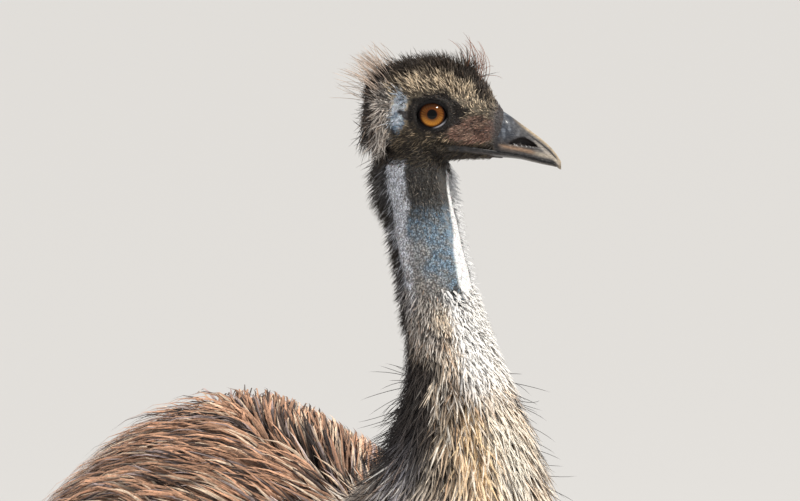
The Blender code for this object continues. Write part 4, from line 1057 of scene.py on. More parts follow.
def make_lashes(places, material):
    """Short dark bristles round the lids."""
    draw = np.random.default_rng(SEED + 10)
    count = 520
    roots, normals, aims = [], [], []
    for side, place in places:
        u, v = draw.random(count), draw.uniform(0.02, 0.25, count)
        root = place(u, v)
        middle = on_head(np.zeros(1), side * 14.0 * np.ones(1), np.zeros(1))
        aim = unit(root - middle - ((root - middle) @ HEAD_LEFT)[:, None] * HEAD_LEFT)
        roots.append(root)
        normals.append(unit(aim * 0.4 + side * HEAD_LEFT))
        aims.append(aim - HEAD_FORWARD * 0.35 + draw.normal(0, 0.35, (count, 3)))
    roots, normals, aims = (np.concatenate(part) for part in (roots, normals, aims))
    length = draw.uniform(0.0022, 0.0050, len(roots))
    rise = 0.45 + draw.normal(0, 0.2, len(roots))
    path, out = sprung(roots, normals, aims, length, rise, bend=rise * 0.6, curl=0.3, draw=draw, stops=3)
    width = tapered(3, (1.0, 0.75, 0.4), np.full(len(roots), 0.00062))
    base = mix(np.tile(DARK, (len(roots), 1)), (0.20, 0.155, 0.115), (draw.random(len(roots)) < 0.22) * 0.7)
    tint = shaded(base, 3, root=0.8, tip=1.2, draw=draw)
    blades("lashes", path, out, width, width * 0.8, tint, material)


# Coat


def blades(name, path, out, width, thick, tint, material, smooth=True):
    """Closed vanes of three sides along paths of points, each tapering to its last point."""
    count, stops = path.shape[0], path.shape[1] - 1
    ahead = np.empty((count, stops, 3))
    ahead[:, 1:] = path[:, 2:] - path[:, :-2]
    ahead[:, 0] = path[:, 1] - path[:, 0]
    ahead = unit(ahead)
    across = unit(np.cross(ahead, out[:, :stops]))
    upward = np.cross(across, ahead)
    half, deep = width[:, :, None] / 2, thick[:, :, None]
    low = path[:, :-1] - upward * deep * 0.4
    rings = np.stack((low - across * half, path[:, :-1] + upward * deep * 0.6, low + across * half), axis=2)
    points = np.concatenate((rings.reshape(count, stops * 3, 3), path[:, -1:]), axis=1)
    size = stops * 3 + 1
    faces = [(2, 1, 0)]
    for k in range(stops - 1):
        a, b = 3 * k, 3 * k + 3
        for n in range(3):
            m = (n + 1) % 3
            faces += [(a + n, a + m, b + m), (a + n, b + m, b + n)]
    a = 3 * (stops - 1)
    faces += [(a + n, a + (n + 1) % 3, size - 1) for n in range(3)]
    faces = np.array(faces)
    corners = points[0][faces]
    if np.linalg.det(corners - points[0].mean(0)).sum() < 0:
        faces = faces[:, ::-1]
    colours = np.concatenate((np.repeat(tint[:, :stops], 3, axis=1), tint[:, -1:]), axis=1)
    place = unwrap(path[:, 0])
    patch_u = np.append(np.tile((-0.0015, 0.0, 0.0015), stops), 0.0)
    patch_v = np.append(np.repeat(np.arange(stops), 3), stops) / stops * 0.003 - 0.0015
    most = MOST_TRIANGLES // len(faces)
    parts = max(1, math.ceil(count / most))
    for part, chosen in enumerate(np.array_split(np.arange(count), parts)):
        flat = points[chosen].reshape(-1, 3)
        corner = (faces[None] + size * np.arange(len(chosen))[:, None, None]).reshape(-1)
        mesh = bpy.data.meshes.new(name)
        mesh.vertices.add(len(flat))
        mesh.loops.add(len(corner))
        mesh.polygons.add(len(corner) // 3)
        mesh.vertices.foreach_set("co", flat.astype(np.float32).ravel())
        mesh.polygons.foreach_set("loop_start", np.arange(0, len(corner), 3, dtype=np.int32))
        mesh.loops.foreach_set("vertex_index", corner.astype(np.int32))
        mesh.update(calc_edges=True)
        spot = place[chosen]
        low_corner, high_corner = spot.min(0), spot.max(0)
        spot = 0.01 + 0.98 * (spot - low_corner) / np.maximum(high_corner - low_corner, 1e-6)
        uv = np.stack((spot[:, :1] + patch_u, spot[:, 1:] + patch_v), axis=2).reshape(-1, 2)
        layer = mesh.uv_layers.new(name="OFBake")
        layer.data.foreach_set("uv", uv[corner].astype(np.float32).ravel())
        paint(mesh, "tint", np.clip(colours[chosen].reshape(-1, 3), 0, 1))
        piece(name if parts == 1 else f"{name}_{part + 1}", mesh, material, smooth=smooth)


def unwrap(points):
    """A root's place on the bird's skin laid flat: round the body or limb, and along it."""
    key, turn, _ = neck_place(points)
    forward, left, up = head_axes(points)
    head = head_share(points) > 0.5
    neck = (neck_share(points) > 0.5) & ~head
    to_legs = np.minimum(*(limb.outside(points) for limb in LEGS.values()))
    leg = (to_legs < trunk_outside(points)) & ~neck & ~head
    u = np.arctan2(points[:, 0], points[:, 2] - TRUNK_MID_Z) / math.tau + 0.5
    v = (points[:, 1] + 0.45) * 0.5
    u, v = np.where(neck, turn / 360 + 0.5, u), np.where(neck, 0.5 + key / 24, v)
    u = np.where(leg, (np.arctan2(np.abs(points[:, 0]) - 0.1, points[:, 1] - 0.05) / math.tau + 0.5) / 2, u)
    u = np.where(leg & (points[:, 0] > 0), u + 0.5, u)
    v = np.where(leg, (0.75 - points[:, 2]) + 0.5, v)
    u = np.where(head, np.arctan2(left, up + 2) / math.tau + 0.5, u)
    return np.stack((u, np.where(head, (forward + 60) / 125, v)), axis=1)


def beside_parting(points):
    """How far each point lies to the left of the parting of the back."""
    return points[:, 0] - np.interp(points[:, 1], *np.array(PARTING).T)


def body_lie(points):
    """The way the trunk's feathers lie: out from a parting on the back, backwards, and drooping."""
    q = (points[:, 1] - TRUNK_MID_Y) / TRUNK_HALF_LENGTH
    droop = np.interp(q, (-1.0, -0.6, -0.25, 0.1, 0.5, 1.0), (-0.45, -0.40, -0.08, 0.36, 0.85, 1.4))
    droop = droop + 0.55 * ramp(points[:, 2], 0.99, 0.82)
    beside = beside_parting(points)
    near_top = hump(points[:, 0], 0, 0.10)
    over = np.where(beside > 0, 0.34, 0.55) * near_top
    part = np.tanh(beside / 0.010) * (0.12 + over)
    return unit(np.stack((part, 1.0 - 0.55 * np.maximum(q, 0), -droop), axis=1))


def coat_lie(points):
    """The coat's lie on trunk, neck and thighs together."""
    lie = body_lie(points)
    _, key = NECK_LIMB.nearest(points)
    down_neck = -NECK_LIMB.frames(key)[3] + (0, 0, -0.15)
    lie = mix(lie, unit(down_neck), neck_share(points))
    for limb in LEGS.values():
        gap = limb.outside(points) - trunk_outside(points)
        along = limb.frames(np.full(len(points), 3.0))[3] + (0, 0.20, -0.2)
        lie = mix(lie, unit(along), ramp(gap, 0.02, -0.03) * ramp(points[:, 2], 0.76, 0.66))
    rump = ramp(TAIL_LIMB.outside(points) - trunk_outside(points), 0.03, -0.03)
    return unit(mix(lie, (0.0, 0.12, -1.0), rump))


def laid(roots, lie, length, lift, sway, shares, lifts, stiffness=0.35, sunk=0.003, loose=3.0):
    """Paths that leave the skin at their roots and lie along it at a height that grows to the lift."""
    height, out = height_and_normal(roots)
    point = roots - out * (sunk + height)[:, None]
    path, outs, before = [point], [out], None
    for share, wanted in zip(shares, lifts):
        towards = lie(point)
        away = (towards * out).sum(1, keepdims=True)
        towards = unit(towards - out * np.where(away < 0, away, away * 0.8))
        towards = unit(towards + np.cross(out, towards) * sway[:, None])
        step = (length * share)[:, None]
        ahead = point + towards * step
        height, out = height_and_normal(ahead)
        least = lift * wanted
        most = least + lift * loose * np.clip(away[:, 0], 0, 1)
        ahead = ahead + out * (np.clip(height, least, np.maximum(least, most)) - height)[:, None]
        way = unit(ahead - point)
        way = way if before is None else unit(way + before * stiffness)
        point, before = point + way * step, way
        path.append(point)
        outs.append(out)
    path = np.stack(path, axis=1)
    path[:, 1:-1] = path[:, 1:-1] / 2 + path[:, :-2] / 4 + path[:, 2:] / 4
    return path, np.stack(outs, axis=1)


def sprung(roots, normals, towards, length, rise, bend, curl, draw, stops, sunk=0.0008):
    """Paths of hairs that leave the skin at the angle rise and bend down towards their lie."""
    towards = unit(towards - normals * (towards * normals).sum(1, keepdims=True))
    side = np.cross(normals, towards)
    turn = draw.normal(0, 1, len(roots)) * curl
    point = roots - normals * sunk
    path, outs = [point], [normals]
    for k in range(stops):
        share = (k + 0.5) / stops
        angle = rise * (1 - share) + bend * share
        way = towards * np.cos(angle)[:, None] + normals * np.sin(angle)[:, None]
        way = unit(way + side * (turn * (share - 0.2))[:, None])
        point = point + way * (length / stops)[:, None]
        path.append(point)
        outs.append(unit(np.cross(way, side)) * -1)
    return np.stack(path, axis=1), np.stack(outs, axis=1)


def tapered(stops, profile, width):
    """Widths at the stops of each vane."""
    shares = np.interp(np.arange(stops) / stops, np.linspace(0, 1, len(profile)), profile)
    return shares[None] * width[:, None]


def shaded(base, stops, root, tip, draw, spread=0.25):
    """Tints along each vane, varied between vanes: painted shade at the root, painted light at the tip."""
    tone = 1 + draw.normal(0, spread, len(base))
    shares = np.linspace(root, tip, stops + 1)
    colour = base[:, None] * np.clip(tone, 0.25, 2.2)[:, None, None] * shares[None, :, None]
    return colour / np.maximum(colour.max(-1, keepdims=True), 1.0)


def feather_tones(base, pick, lock, far=0.0):
    """Tan, pale, grey and dark feathers among the brown, by a random pick and the lock's own tone."""
    # The tan is partly painted sunlight, the pale tan and grey feathers partly painted glints.
    base = mix(base, TAN, (pick < 0.42 + 0.22 * lock + 0.10 * far) * 0.85)
    base = mix(base, PALE_TAN, ((pick > 0.50 - 0.08 * far) & (pick < 0.62 + 0.10 * lock)) * 0.85)
    base = mix(base, GREY, ((pick > 0.64) & (pick < 0.76)) * 0.85)
    return mix(base, DARK, (pick > 0.80 + 0.12 * lock) * 0.9)


def make_body_feathers(skin, material):
    """Long narrow feathers in locks, finest on the upper back."""
    draw = np.random.default_rng(SEED)

    def weight(p):
        upper = ramp(p[:, 2], 0.84, 0.96)
        shown = 0.55 + 0.5 * ramp(p[:, 1], 0.25, -0.2) + 0.9 * upper
        return np.sqrt(1 - neck_share(p)) * ramp(p[:, 2], 0.40, 0.47) * shown

    count = 30000
    roots, _ = skin.roots(count, weight, draw)
    thigh = ramp(roots[:, 2], 0.66, 0.52)
    rump = ramp(roots[:, 1], 0.22, 0.40)
    upper = ramp(roots[:, 2], 0.84, 0.96)
    length = (0.098 + 0.024 * rump - 0.036 * thigh) * draw.uniform(0.65, 1.3, count)
    length = length * (1 - 0.55 * rump * ramp(roots[:, 2], 0.72, 0.60))
    lock = patchy(roots * np.array((1.0, 0.45, 1.0)), 0.012, 26)
    far = ramp(beside_parting(roots), -0.010, 0.020) * upper
    lift = (0.023 - 0.012 * thigh) * np.clip(draw.uniform(0.25, 1.05, count) + 0.30 * lock, 0.2, 1.25)
    lift = lift * (1 - far) + 0.024 * draw.uniform(0.70, 1.04, count) * far
    lift = lift * (1 + 0.22 * hump(beside_parting(roots), 0, 0.060) * upper)
    length = length * (1 - 0.12 * far)
    sway = 0.20 * patchy(roots, 0.040, 27) + draw.normal(0, 0.08, count)
    shares, lifts = (0.26, 0.27, 0.25, 0.22), (0.50, 0.92, 1.0, 0.88)
    path, out = laid(roots, coat_lie, length, lift, sway, shares, lifts, loose=0.4 + 2.6 * rump)
    size = (0.0042 - 0.0012 * upper) * draw.uniform(0.5, 1.35, count)
    width = tapered(4, (0.6, 1.0, 0.85, 0.5, 0.2), size)
    pick = draw.random(count)
    base = feather_tones(body_tint(roots), pick, lock, far)
    # Cream feathers, none at the very top of the back: partly painted highlights.
    base = mix(base, CREAM, ((pick > 0.60) & (pick < 0.66)) * 0.7 * ramp(roots[:, 2], 1.03, 0.96))
    base = base * np.clip(1.03 + 0.65 * lock, 0.30, 1.7)[:, None]
    tint = shaded(base, 4, root=0.25, tip=1.25, draw=draw, spread=0.22)
    dark_tip = (draw.random(count) < 0.35)[:, None, None] * ramp(np.arange(5) / 4, 0.6, 1.0)[None, :, None]
    tint = tint * (1 - 0.7 * dark_tip)
    blades("body_feathers", path, out, width, width * 0.16, tint, material, smooth=False)


def make_ruff(skins, material):
    """The ruff's feathers: short and close high on the neck, longer and looser towards the breast."""
    draw = np.random.default_rng(SEED + 1)

    def weight(p):
        return neck_share(p) * ramp(p[:, 2], 1.256, 1.236) * (1 + 2.2 * ramp(p[:, 2], 1.05, 1.2))

    def low(p):
        return weight(p) * (p[:, 2] < SKINS_MEET)

    def high_up(p):
        return weight(p) * (p[:, 2] >= SKINS_MEET)

    found = [skins[0].roots(9200, low, draw)[0], skins[1].roots(4300, high_up, draw)[0]]
    roots = np.concatenate(found)
    count = len(roots)
    high = ramp(roots[:, 2], 1.06, 1.240)
    length = (0.068 * (1 - high) + 0.010 * high) * draw.uniform(0.65, 1.35, count)
    lift = (0.016 * (1 - high) + 0.0034 * high) * draw.uniform(0.2, 1.5, count)
    shares, lifts = (0.26, 0.26, 0.25, 0.23), (0.45, 0.8, 1.0, 1.25)
    sway = draw.normal(0, 0.24, count)
    path, out = laid(roots, coat_lie, length, lift, sway, shares, lifts, stiffness=0.5, sunk=0.0015)
    _, turn, _ = neck_place(roots)
    # Where the ruff's pale front is also painted sunlit white: wider vanes, no dark ones, near-white tints.
    white = ramp(roots[:, 2], 1.160, 1.190) * ramp(turn, 34, 12) * ramp(turn, -75, -55)
    size = (0.0024 * (1 - high) + 0.0011 * high) * draw.uniform(0.5, 1.35, count)
    width = tapered(4, (0.8, 1.0, 0.85, 0.6, 0.4), size * (1 + 0.9 * white))
    base = neck_tint(path[:, 1])
    pick = draw.random(count)
    light = ramp(base.max(1), 0.06, 0.3)
    base = mix(base, DARK, (pick < 0.14 * (1 - white)) * 0.88)
    base = mix(base, (1.0, 0.94, 0.84), ((pick > 0.20) & (pick < 0.36)) * 0.6 * light)
    base = mix(base, (0.46, 0.27, 0.15), ((pick > 0.36) & (pick < 0.46)) * 0.5 * light)
    tint = shaded(base, 4, root=0.50, tip=1.55, draw=draw, spread=0.22)
    tint = mix(tint, FEATHER_WHITE, white[:, None] * 0.95)
    blades("ruff_feathers", path, out, width, width * 0.22, tint, material, smooth=False)
    make_ruff_spikes(skins, material)


def make_ruff_spikes(skins, material):
    """Hairs that stand off the neck's outline, dark at the back and pale at the throat."""
    draw = np.random.default_rng(SEED + 9)

    def low(p):
        return neck_share(p) * ramp(p[:, 2], 1.04, 1.08) * (p[:, 2] < SKINS_MEET)

    def high_up(p):
        return ramp(p[:, 2], 1.262, 1.23) * (p[:, 2] >= SKINS_MEET)

    found = [skin.roots(900, weight, draw) for skin, weight in zip(skins, (low, high_up))]
    roots, normals = (np.concatenate(pair) for pair in zip(*found))
    count = len(roots)
    high = ramp(roots[:, 2], 1.06, 1.24)
    length = (0.030 * (1 - high) + 0.011 * high) * draw.uniform(0.6, 1.4, count)
    rise = 0.85 + draw.normal(0, 0.15, count)
    lie = coat_lie(roots)
    path, out = sprung(roots, normals, lie, length, rise, bend=rise * 0.45, curl=0.4, draw=draw, stops=4)
    width = tapered(4, (1.0, 0.9, 0.7, 0.4), (0.0013 - 0.0005 * high) * draw.uniform(0.6, 1.3, count))
    tint = shaded(neck_tint(roots), 4, root=0.6, tip=1.3, draw=draw, spread=0.3)
    blades("ruff_spikes", path, out, width, width * 0.5, tint, material)


def make_stray_shafts(skin, material):
    """The few long black shafts that stand off the base of the neck."""
    draw = np.random.default_rng(SEED + 2)

    def weight(p):
        _, turn, _ = neck_place(p)
        height = ramp(p[:, 2], 1.05, 1.08) * ramp(p[:, 2], 1.19, 1.16)
        return neck_share(p) * height * ramp(np.abs(turn), 55, 80)

    count = 420
    roots, normals = skin.roots(count, weight, draw)
    lie = mix(coat_lie(roots), (0.0, 0.6, 0.0), 0.5)
    length = draw.uniform(0.030, 0.062, count)
    bend = draw.uniform(0.3, 1.0, count)
    path, out = sprung(roots, normals, lie, length, rise=1.0, bend=bend, curl=0.5, draw=draw, stops=6)
    width = tapered(6, (1.0, 0.8, 0.4), np.full(count, 0.0007))
    tint = shaded(np.tile(np.array(DARK) * 0.8, (count, 1)), 6, root=1.0, tip=1.0, draw=draw)
    blades("stray_shafts", path, out, width, width * 0.8, tint, material)


def make_neck_hair(skin, material):
    """Short spiky hairs: black down the nape, white on the edge of the throat, sparse between."""
    draw = np.random.default_rng(SEED + 3)

    def weight(p):
        _, turn, _ = neck_place(p)
        nape = ramp(np.abs(turn), 84, 106)
        throat = hump(turn, -62, 14)
        smooth = ramp(turn, -4, -12) * ramp(turn, -56, -46)
        top = ramp(p[:, 2], 1.290, 1.325)
        dense = (0.45 + 1.5 * nape + 0.3 * throat + 1.3 * top) * (1 - 0.93 * smooth)
        return (1 - head_share(p)) * ramp(p[:, 2], 1.20, 1.225) * dense

    count = 8200
    roots, normals = skin.roots(count, weight, draw)
    _, turn, along = neck_place(roots)
    nape = ramp(np.abs(turn), 88, 108)
    strip = ramp(turn, 50, 60) * ramp(turn, 102, 90)
    top = ramp(roots[:, 2], 1.298, 1.334)
    pale = ramp(turn, -10, -24) * (1 - nape) * (1 - ramp(top, 0.5, 1) * ramp(turn, -60, -40))
    length = 0.0046 + 0.0060 * nape + 0.0038 * pale + 0.0050 * top * nape + 0.002 * top
    length = length * draw.uniform(0.5, 1.5, count)
    towards = -along + draw.normal(0, 0.30, (count, 3))
    rise = 0.45 + 0.65 * nape + 0.55 * pale + draw.normal(0, 0.18, count)
    path, out = sprung(roots, normals, towards, length, rise, bend=rise * 0.7, curl=0.35, draw=draw, stops=3)
    thick = 0.00056 + 0.00014 * nape + 0.00042 * pale
    width = tapered(3, (1.0, 0.7, 0.35), thick * draw.uniform(0.7, 1.3, count))
    pick = draw.random(count)
    dark = np.where(pick < (0.30 + 0.5 * top) * (1 - 0.85 * strip) + 0.3 * nape, 0.9, 0.1) * (1 - pale)
    base = mix(neck_tint(roots) * 1.15, (0.050, 0.042, 0.034), dark)
    base = mix(base, (0.36, 0.31, 0.26), (pick > 0.88) * (1 - pale) * (1 - nape) * 0.8)
    # Pale hairs at the throat's edge, painted white as in full sunlight, like the throat's skin.
    base = mix(base, (1.0, 1.0, 1.0), pale * 0.95)
    tint = shaded(base, 3, root=1.0, tip=1.1, draw=draw, spread=0.15)
    blades("neck_hair", path, out, width, width * 0.8, tint, material)


def head_lie(points):
    """The way the head's bristles lie: back from the bill, up over the brow and down the cheek."""
    forward, _, up = head_axes(points)
    brow = ramp(forward, 6, 42) * ramp(up, -4, 12)
    nape = ramp(forward, -28, -44) * ramp(up, 14, -8)
    rise = 0.75 * ramp(up, 4, 20) - 0.55 * ramp(up, -6, -24) + 0.6 * brow - 1.5 * nape
    return unit(HEAD_UP * rise[:, None] - HEAD_FORWARD * (1 - 1.15 * brow)[:, None])


def bare_places(points):
    """0 where the face has no bristles: the eye, the patch behind it and the base of the bill."""
    forward, left, up = head_axes(points)
    side = np.abs(left)
    eye = ramp(np.hypot(forward / 1.12, up), 13.6, 14.6)
    eye = np.maximum(eye, ramp(side, 12, 8))
    cere = ramp(forward - 8 * ramp(up, -7, 1) - 3 * ramp(up, -18, -26), 56, 50)
    patch = 1 - 0.78 * hump(forward, PATCH[0], 6.2) * ramp(up, -24, -14) * ramp(up, 28, 18)
    mouth = 1 - hump(up - mouth_line(forward), 0, 1.6) * ramp(forward, -4, 4)
    return eye * cere * patch * mouth * head_share(points) * (1 + 0.6 * ramp(up, 8, 20))


def make_face_bristles(skin, material):
    """Short bristles over the face, longest on the brow and shortest round the eye."""
    draw = np.random.default_rng(SEED + 4)
    count = 9400
    roots, normals = skin.roots(count, bare_places, draw)
    forward, left, up = head_axes(roots)
    near_eye = ramp(np.hypot(forward / 1.5 - 1, up - 2), 22, 15) * ramp(np.abs(left), 10, 16)
    brow = ramp(up, 10, 22)
    low = ramp(up, -8, -30)
    length = (0.0052 + 0.0042 * brow + 0.0014 * low) * (1 - 0.50 * near_eye) * draw.uniform(0.6, 1.45, count)
    towards = head_lie(roots) + draw.normal(0, 0.26, (count, 3))
    rise = 0.40 + 0.40 * brow + draw.normal(0, 0.14, count)
    path, out = sprung(roots, normals, towards, length, rise, bend=rise * 0.8, curl=0.3, draw=draw, stops=3)
    width = tapered(3, (1.0, 0.75, 0.40), 0.00074 * draw.uniform(0.65, 1.35, count))
    base = face_tint(roots)
    pick = draw.random(count)
    base = mix(base, DARK, (pick < 0.36) * 0.85)
    base = base * np.where(pick > 0.72, 1.55, 1.0)[:, None]
    tint = shaded(base, 3, root=0.65, tip=1.25, draw=draw, spread=0.28)
    blades("face_bristles", path, out, width, width * 0.8, tint, material)


def make_crown_hair(skin, material):
    """Tufted black hair on the crown, grey-tan fuzz behind the bare patch and dark hair on the nape."""
    draw = np.random.default_rng(SEED + 5)

    def weight(p):
        forward, _, up = head_axes(p)
        top = smooth_rows(HEAD, forward)[:, 0]
        crown = ramp(up - top, -15, -7) * ramp(forward, 58, 46)
        back = ramp(forward, -34, -46) * ramp(up, -50, -36)
        return np.maximum(crown, back) * head_share(p)

    count = 4600
    roots, normals = skin.roots(count, weight, draw)
    forward, left, up = head_axes(roots)
    tuft = patchy(roots, 0.0085, 22)
    behind = ramp(forward, -36, -50)
    front = hump(forward, 31, 7) * hump(left, 0, 9) * ramp(up, 14, 26)
    high = ramp(up, 22, 36)
    low = ramp(up, 4, -14) * ramp(forward, -28, -40)
    length = 0.0065 + 0.0065 * high + 0.0035 * behind + 0.0110 * front + 0.0105 * low
    length = length * (1 + 0.4 * tuft) * draw.uniform(0.6, 1.35, count)
    gather = np.stack([patchy(roots, 0.010, seed) for seed in (23, 24, 25)], axis=1)
    towards = head_lie(roots) + gather * 0.6 + draw.normal(0, 0.22, (count, 3))
    rise = 0.80 + 0.25 * high - 0.30 * behind * (1 - high) + draw.normal(0, 0.18, count)
    path, out = sprung(roots, normals, towards, length, rise, bend=rise * 0.75, curl=0.5, draw=draw, stops=4)
    width = tapered(4, (1.0, 0.8, 0.6, 0.35), 0.00068 * draw.uniform(0.65, 1.3, count))
    base = face_tint(roots) * 0.8
    base = mix(base, (0.30, 0.22, 0.16), (draw.random(count) < 0.05 + 0.12 * behind) * 0.8)
    tint = shaded(base, 4, root=0.75, tip=1.25, draw=draw, spread=0.3)
    blades("crown_hair", path, out, width, width * 0.8, tint, material)


def make_wisps(material):
    """The single long hairs of the nape's tuft and the curled ones over the brow."""
    draw = np.random.default_rng(SEED + 6)
    for name, count, where, size, rise, bend, curl, colour in (
        ("nape_wisps", 190, (-43, 6, 8), (0.018, 0.042), 1.50, 1.00, 0.5, (0.42, 0.33, 0.265)),
        ("brow_wisps", 30, (38, 4, 5), (0.034, 0.050), 1.50, 0.10, 0.35, (0.22, 0.080, 0.035)),
    ):
        forward = np.clip(where[0] + draw.normal(0, where[1], count), -57, 60)
        left = draw.normal(0, where[2], count)
        top, bottom, half = smooth_rows(HEAD, forward).T
        left = np.clip(left, -0.8 * half, 0.8 * half)
        up = (top + bottom) / 2 + (top - bottom) / 2 * np.sqrt(np.clip(1 - (left / half) ** 2, 0, 1))
        roots = on_head(forward, left, up - 1.5)
        slope = smooth_rows(HEAD, forward + 1)[:, 0] - top
        normals = unit(-slope[:, None] * HEAD_FORWARD + (left / half)[:, None] * HEAD_LEFT + HEAD_UP)
        towards = np.tile(-HEAD_FORWARD, (count, 1)) + draw.normal(0, 0.45, (count, 3))
        length = draw.uniform(*size, count)
        angle = rise + draw.normal(0, 0.15, count)
        path, out = sprung(roots, normals, towards, length, angle, bend, curl, draw, stops=8)
        width = tapered(8, (1.0, 0.8, 0.5), np.full(count, 0.00052))
        tint = shaded(np.tile(np.array(colour), (count, 1)), 8, root=0.8, tip=1.6, draw=draw, spread=0.3)
        blades(name, path, out, width, width * 0.8, tint, material)


def make_wing_plumes(material):
    """Plumes that hang over the stubs of the wings."""
    draw = np.random.default_rng(SEED + 7)

    def lie(points):
        return np.tile(unit(np.array((0.0, 0.80, -0.75))), (len(points), 1))

    a_wing = 260
    shares, lifts = (0.25, 0.2, 0.2, 0.18, 0.17), (0.75, 0.9, 1.0, 1.0, 0.9)
    laid_out = []
    for side in (1, -1):
        keys = draw.uniform(0.3, 3.9, a_wing)
        roots = Limb(WING, side).surface(keys, draw.uniform(0, math.tau, a_wing), -0.001)
        length = 0.12 * draw.uniform(0.7, 1.15, a_wing)
        lift = 0.033 * draw.uniform(0.75, 1.1, a_wing)
        sway = draw.normal(0, 0.14, a_wing)
        laid_out.append(laid(roots, lie, length, lift, sway, shares, lifts, stiffness=0.4, sunk=-0.018))
    path, out = (np.concatenate(pair) for pair in zip(*laid_out))
    count = len(path)
    width = tapered(5, (0.5, 1.0, 1.0, 0.85, 0.6, 0.35), 0.0048 * draw.uniform(0.6, 1.3, count))
    lock = patchy(path[:, 0], 0.012, 26)
    base = feather_tones(body_tint(path[:, 0]), draw.random(count), lock)
    tint = shaded(base * np.clip(0.9 + 0.5 * lock, 0.3, 1.5)[:, None], 5, root=0.4, tip=1.15, draw=draw)
    blades("wing_plumes", path, out, width, width * 0.16, tint, material, smooth=False)


def make_tail_plumes(skin, material):
    """Longer plumes that hang over the tail."""
    draw = np.random.default_rng(SEED + 8)

    def weight(p):
        return ramp(TAIL_LIMB.outside(p), 0.02, 0.0) * ramp(p[:, 1], 0.30, 0.38)

    count = 2200
    roots, _ = skin.roots(count, weight, draw)
    length = 0.125 * draw.uniform(0.7, 1.2, count) * (1 - 0.60 * ramp(roots[:, 2], 0.72, 0.60))
    lift = 0.024 * draw.uniform(0.3, 1.1, count)
    shares, lifts = (0.22, 0.22, 0.20, 0.19, 0.17), (0.6, 0.9, 1.0, 1.0, 0.9)
    sway = draw.normal(0, 0.14, count)
    path, out = laid(roots, coat_lie, length, lift, sway, shares, lifts)
    width = tapered(5, (0.55, 0.95, 1.0, 0.85, 0.6, 0.35), 0.0050 * draw.uniform(0.6, 1.3, count))
    lock = patchy(roots, 0.012, 26)
    base = feather_tones(body_tint(roots), draw.random(count), lock)
    tint = shaded(base * np.clip(0.8 + 0.45 * lock, 0.3, 1.4)[:, None], 5, root=0.4, tip=1.1, draw=draw)
    blades("tail_plumes", path, out, width, width * 0.16, tint, material, smooth=False)


# Legs


def beside_toe(towards):
    return np.array((towards[1], -towards[0], 0.0))


def on_toe(centre, towards, ahead, beside, height):
    """Points along a toe from the middle of its foot, beside it and above the floor."""
    level = centre + ahead[:, None] * towards + beside[:, None] * beside_toe(towards)
    return level + height[:, None] * UP


def toe_surface(centre, towards, reach, half, height):
    """A toe: flat below, rounded above, with shallow pads along it."""
    def place(u, v):
        distance = -0.012 + (reach + 0.012) * v
        share = np.clip(distance / reach, 0, 1)
        close = np.clip((1 - v) / 0.06, 0, 1) ** 0.5
        pads = 1 + 0.05 * np.cos(share * 6 * math.pi)
        wide = half * (1 - 0.30 * share) * pads * close * (1 + 0.12 * hump(distance, 0.0, 0.02))
        tall = height * (1 - 0.38 * share) * pads * (0.35 + 0.65 * close) * np.clip(0.75 + v * 4, 0, 1)
        angle = math.tau * u
        lift = (1 + np.sign(np.sin(angle)) * np.abs(np.sin(angle)) ** 0.75) / 2
        lift = SOLE + np.maximum(lift - 0.12, 0.0) / 0.88 * tall
        return on_toe(centre, towards, distance, wide * np.cos(angle), lift)

    return place


def heel_surface(centre, wide, deep, lean):
    """The round heel pad that the shank stands on."""

    def place(u, v):
        angle = math.tau * u
        size = 0.62 + 0.38 * np.sin(np.pi / 2 * np.clip(v / 0.45, 0, 1)) - 0.22 * ramp(v, 0.45, 1.0)
        height = SOLE + 0.036 * v**1.3
        back = deep * size * np.sin(angle) + lean * height
        return centre + np.stack((wide * size * np.cos(angle), back, height), axis=1)

    return place


def sculpt_leg(mesh, limb, centre, toes):
    """Large plates down the front of the shank and over the toes."""
    points, normals = points_of(mesh), normals_of(mesh)
    _, key = limb.nearest(points)
    values, _, back, _ = limb.frames(key)
    offset = points - values[:, :3]
    front = -(offset * back).sum(1) / np.maximum(np.linalg.norm(offset, axis=1), 1e-6)
    height = points[:, 2]
    pitch, toe_pitch = 0.0135, 0.0088
    row = np.abs((height / pitch) % 1.0 - 0.5) * 2
    plates = ramp(row, 1.0, 0.72) * ramp(front, 0.25, 0.55)
    plates = plates * ramp(height, 0.052, 0.062) * ramp(height, 0.375, 0.355)
    small = patchy(points, 0.0045, 12) * 0.0004 * ramp(height, 0.45, 0.42)
    rise = plates * 0.0013 + small
    for towards in toes:
        along_toe = (points - centre) @ towards
        beside = np.abs((points - centre) @ beside_toe(towards))
        on = ramp(beside, 0.016, 0.012) * ramp(along_toe, 0.022, 0.03) * ramp(height, 0.040, 0.032)
        row = np.abs((along_toe / toe_pitch) % 1.0 - 0.5) * 2
        rise = rise + ramp(row, 1.0, 0.7) * on * ramp(normals[:, 2], 0.3, 0.7) * 0.0011
    points = points + normals * rise[:, None]
    points[:, 2] = np.maximum(points[:, 2], 0.0004)
    move_points(mesh, points)


def leg_tint(points):
    wander = patchy(points, 0.02, 14)
    colour = mix((0.125, 0.105, 0.090), (0.060, 0.052, 0.047), 0.5 + 0.4 * wander)
    return mix(colour, (0.17, 0.145, 0.120), ramp(points[:, 2], 0.05, 0.02) * 0.5)


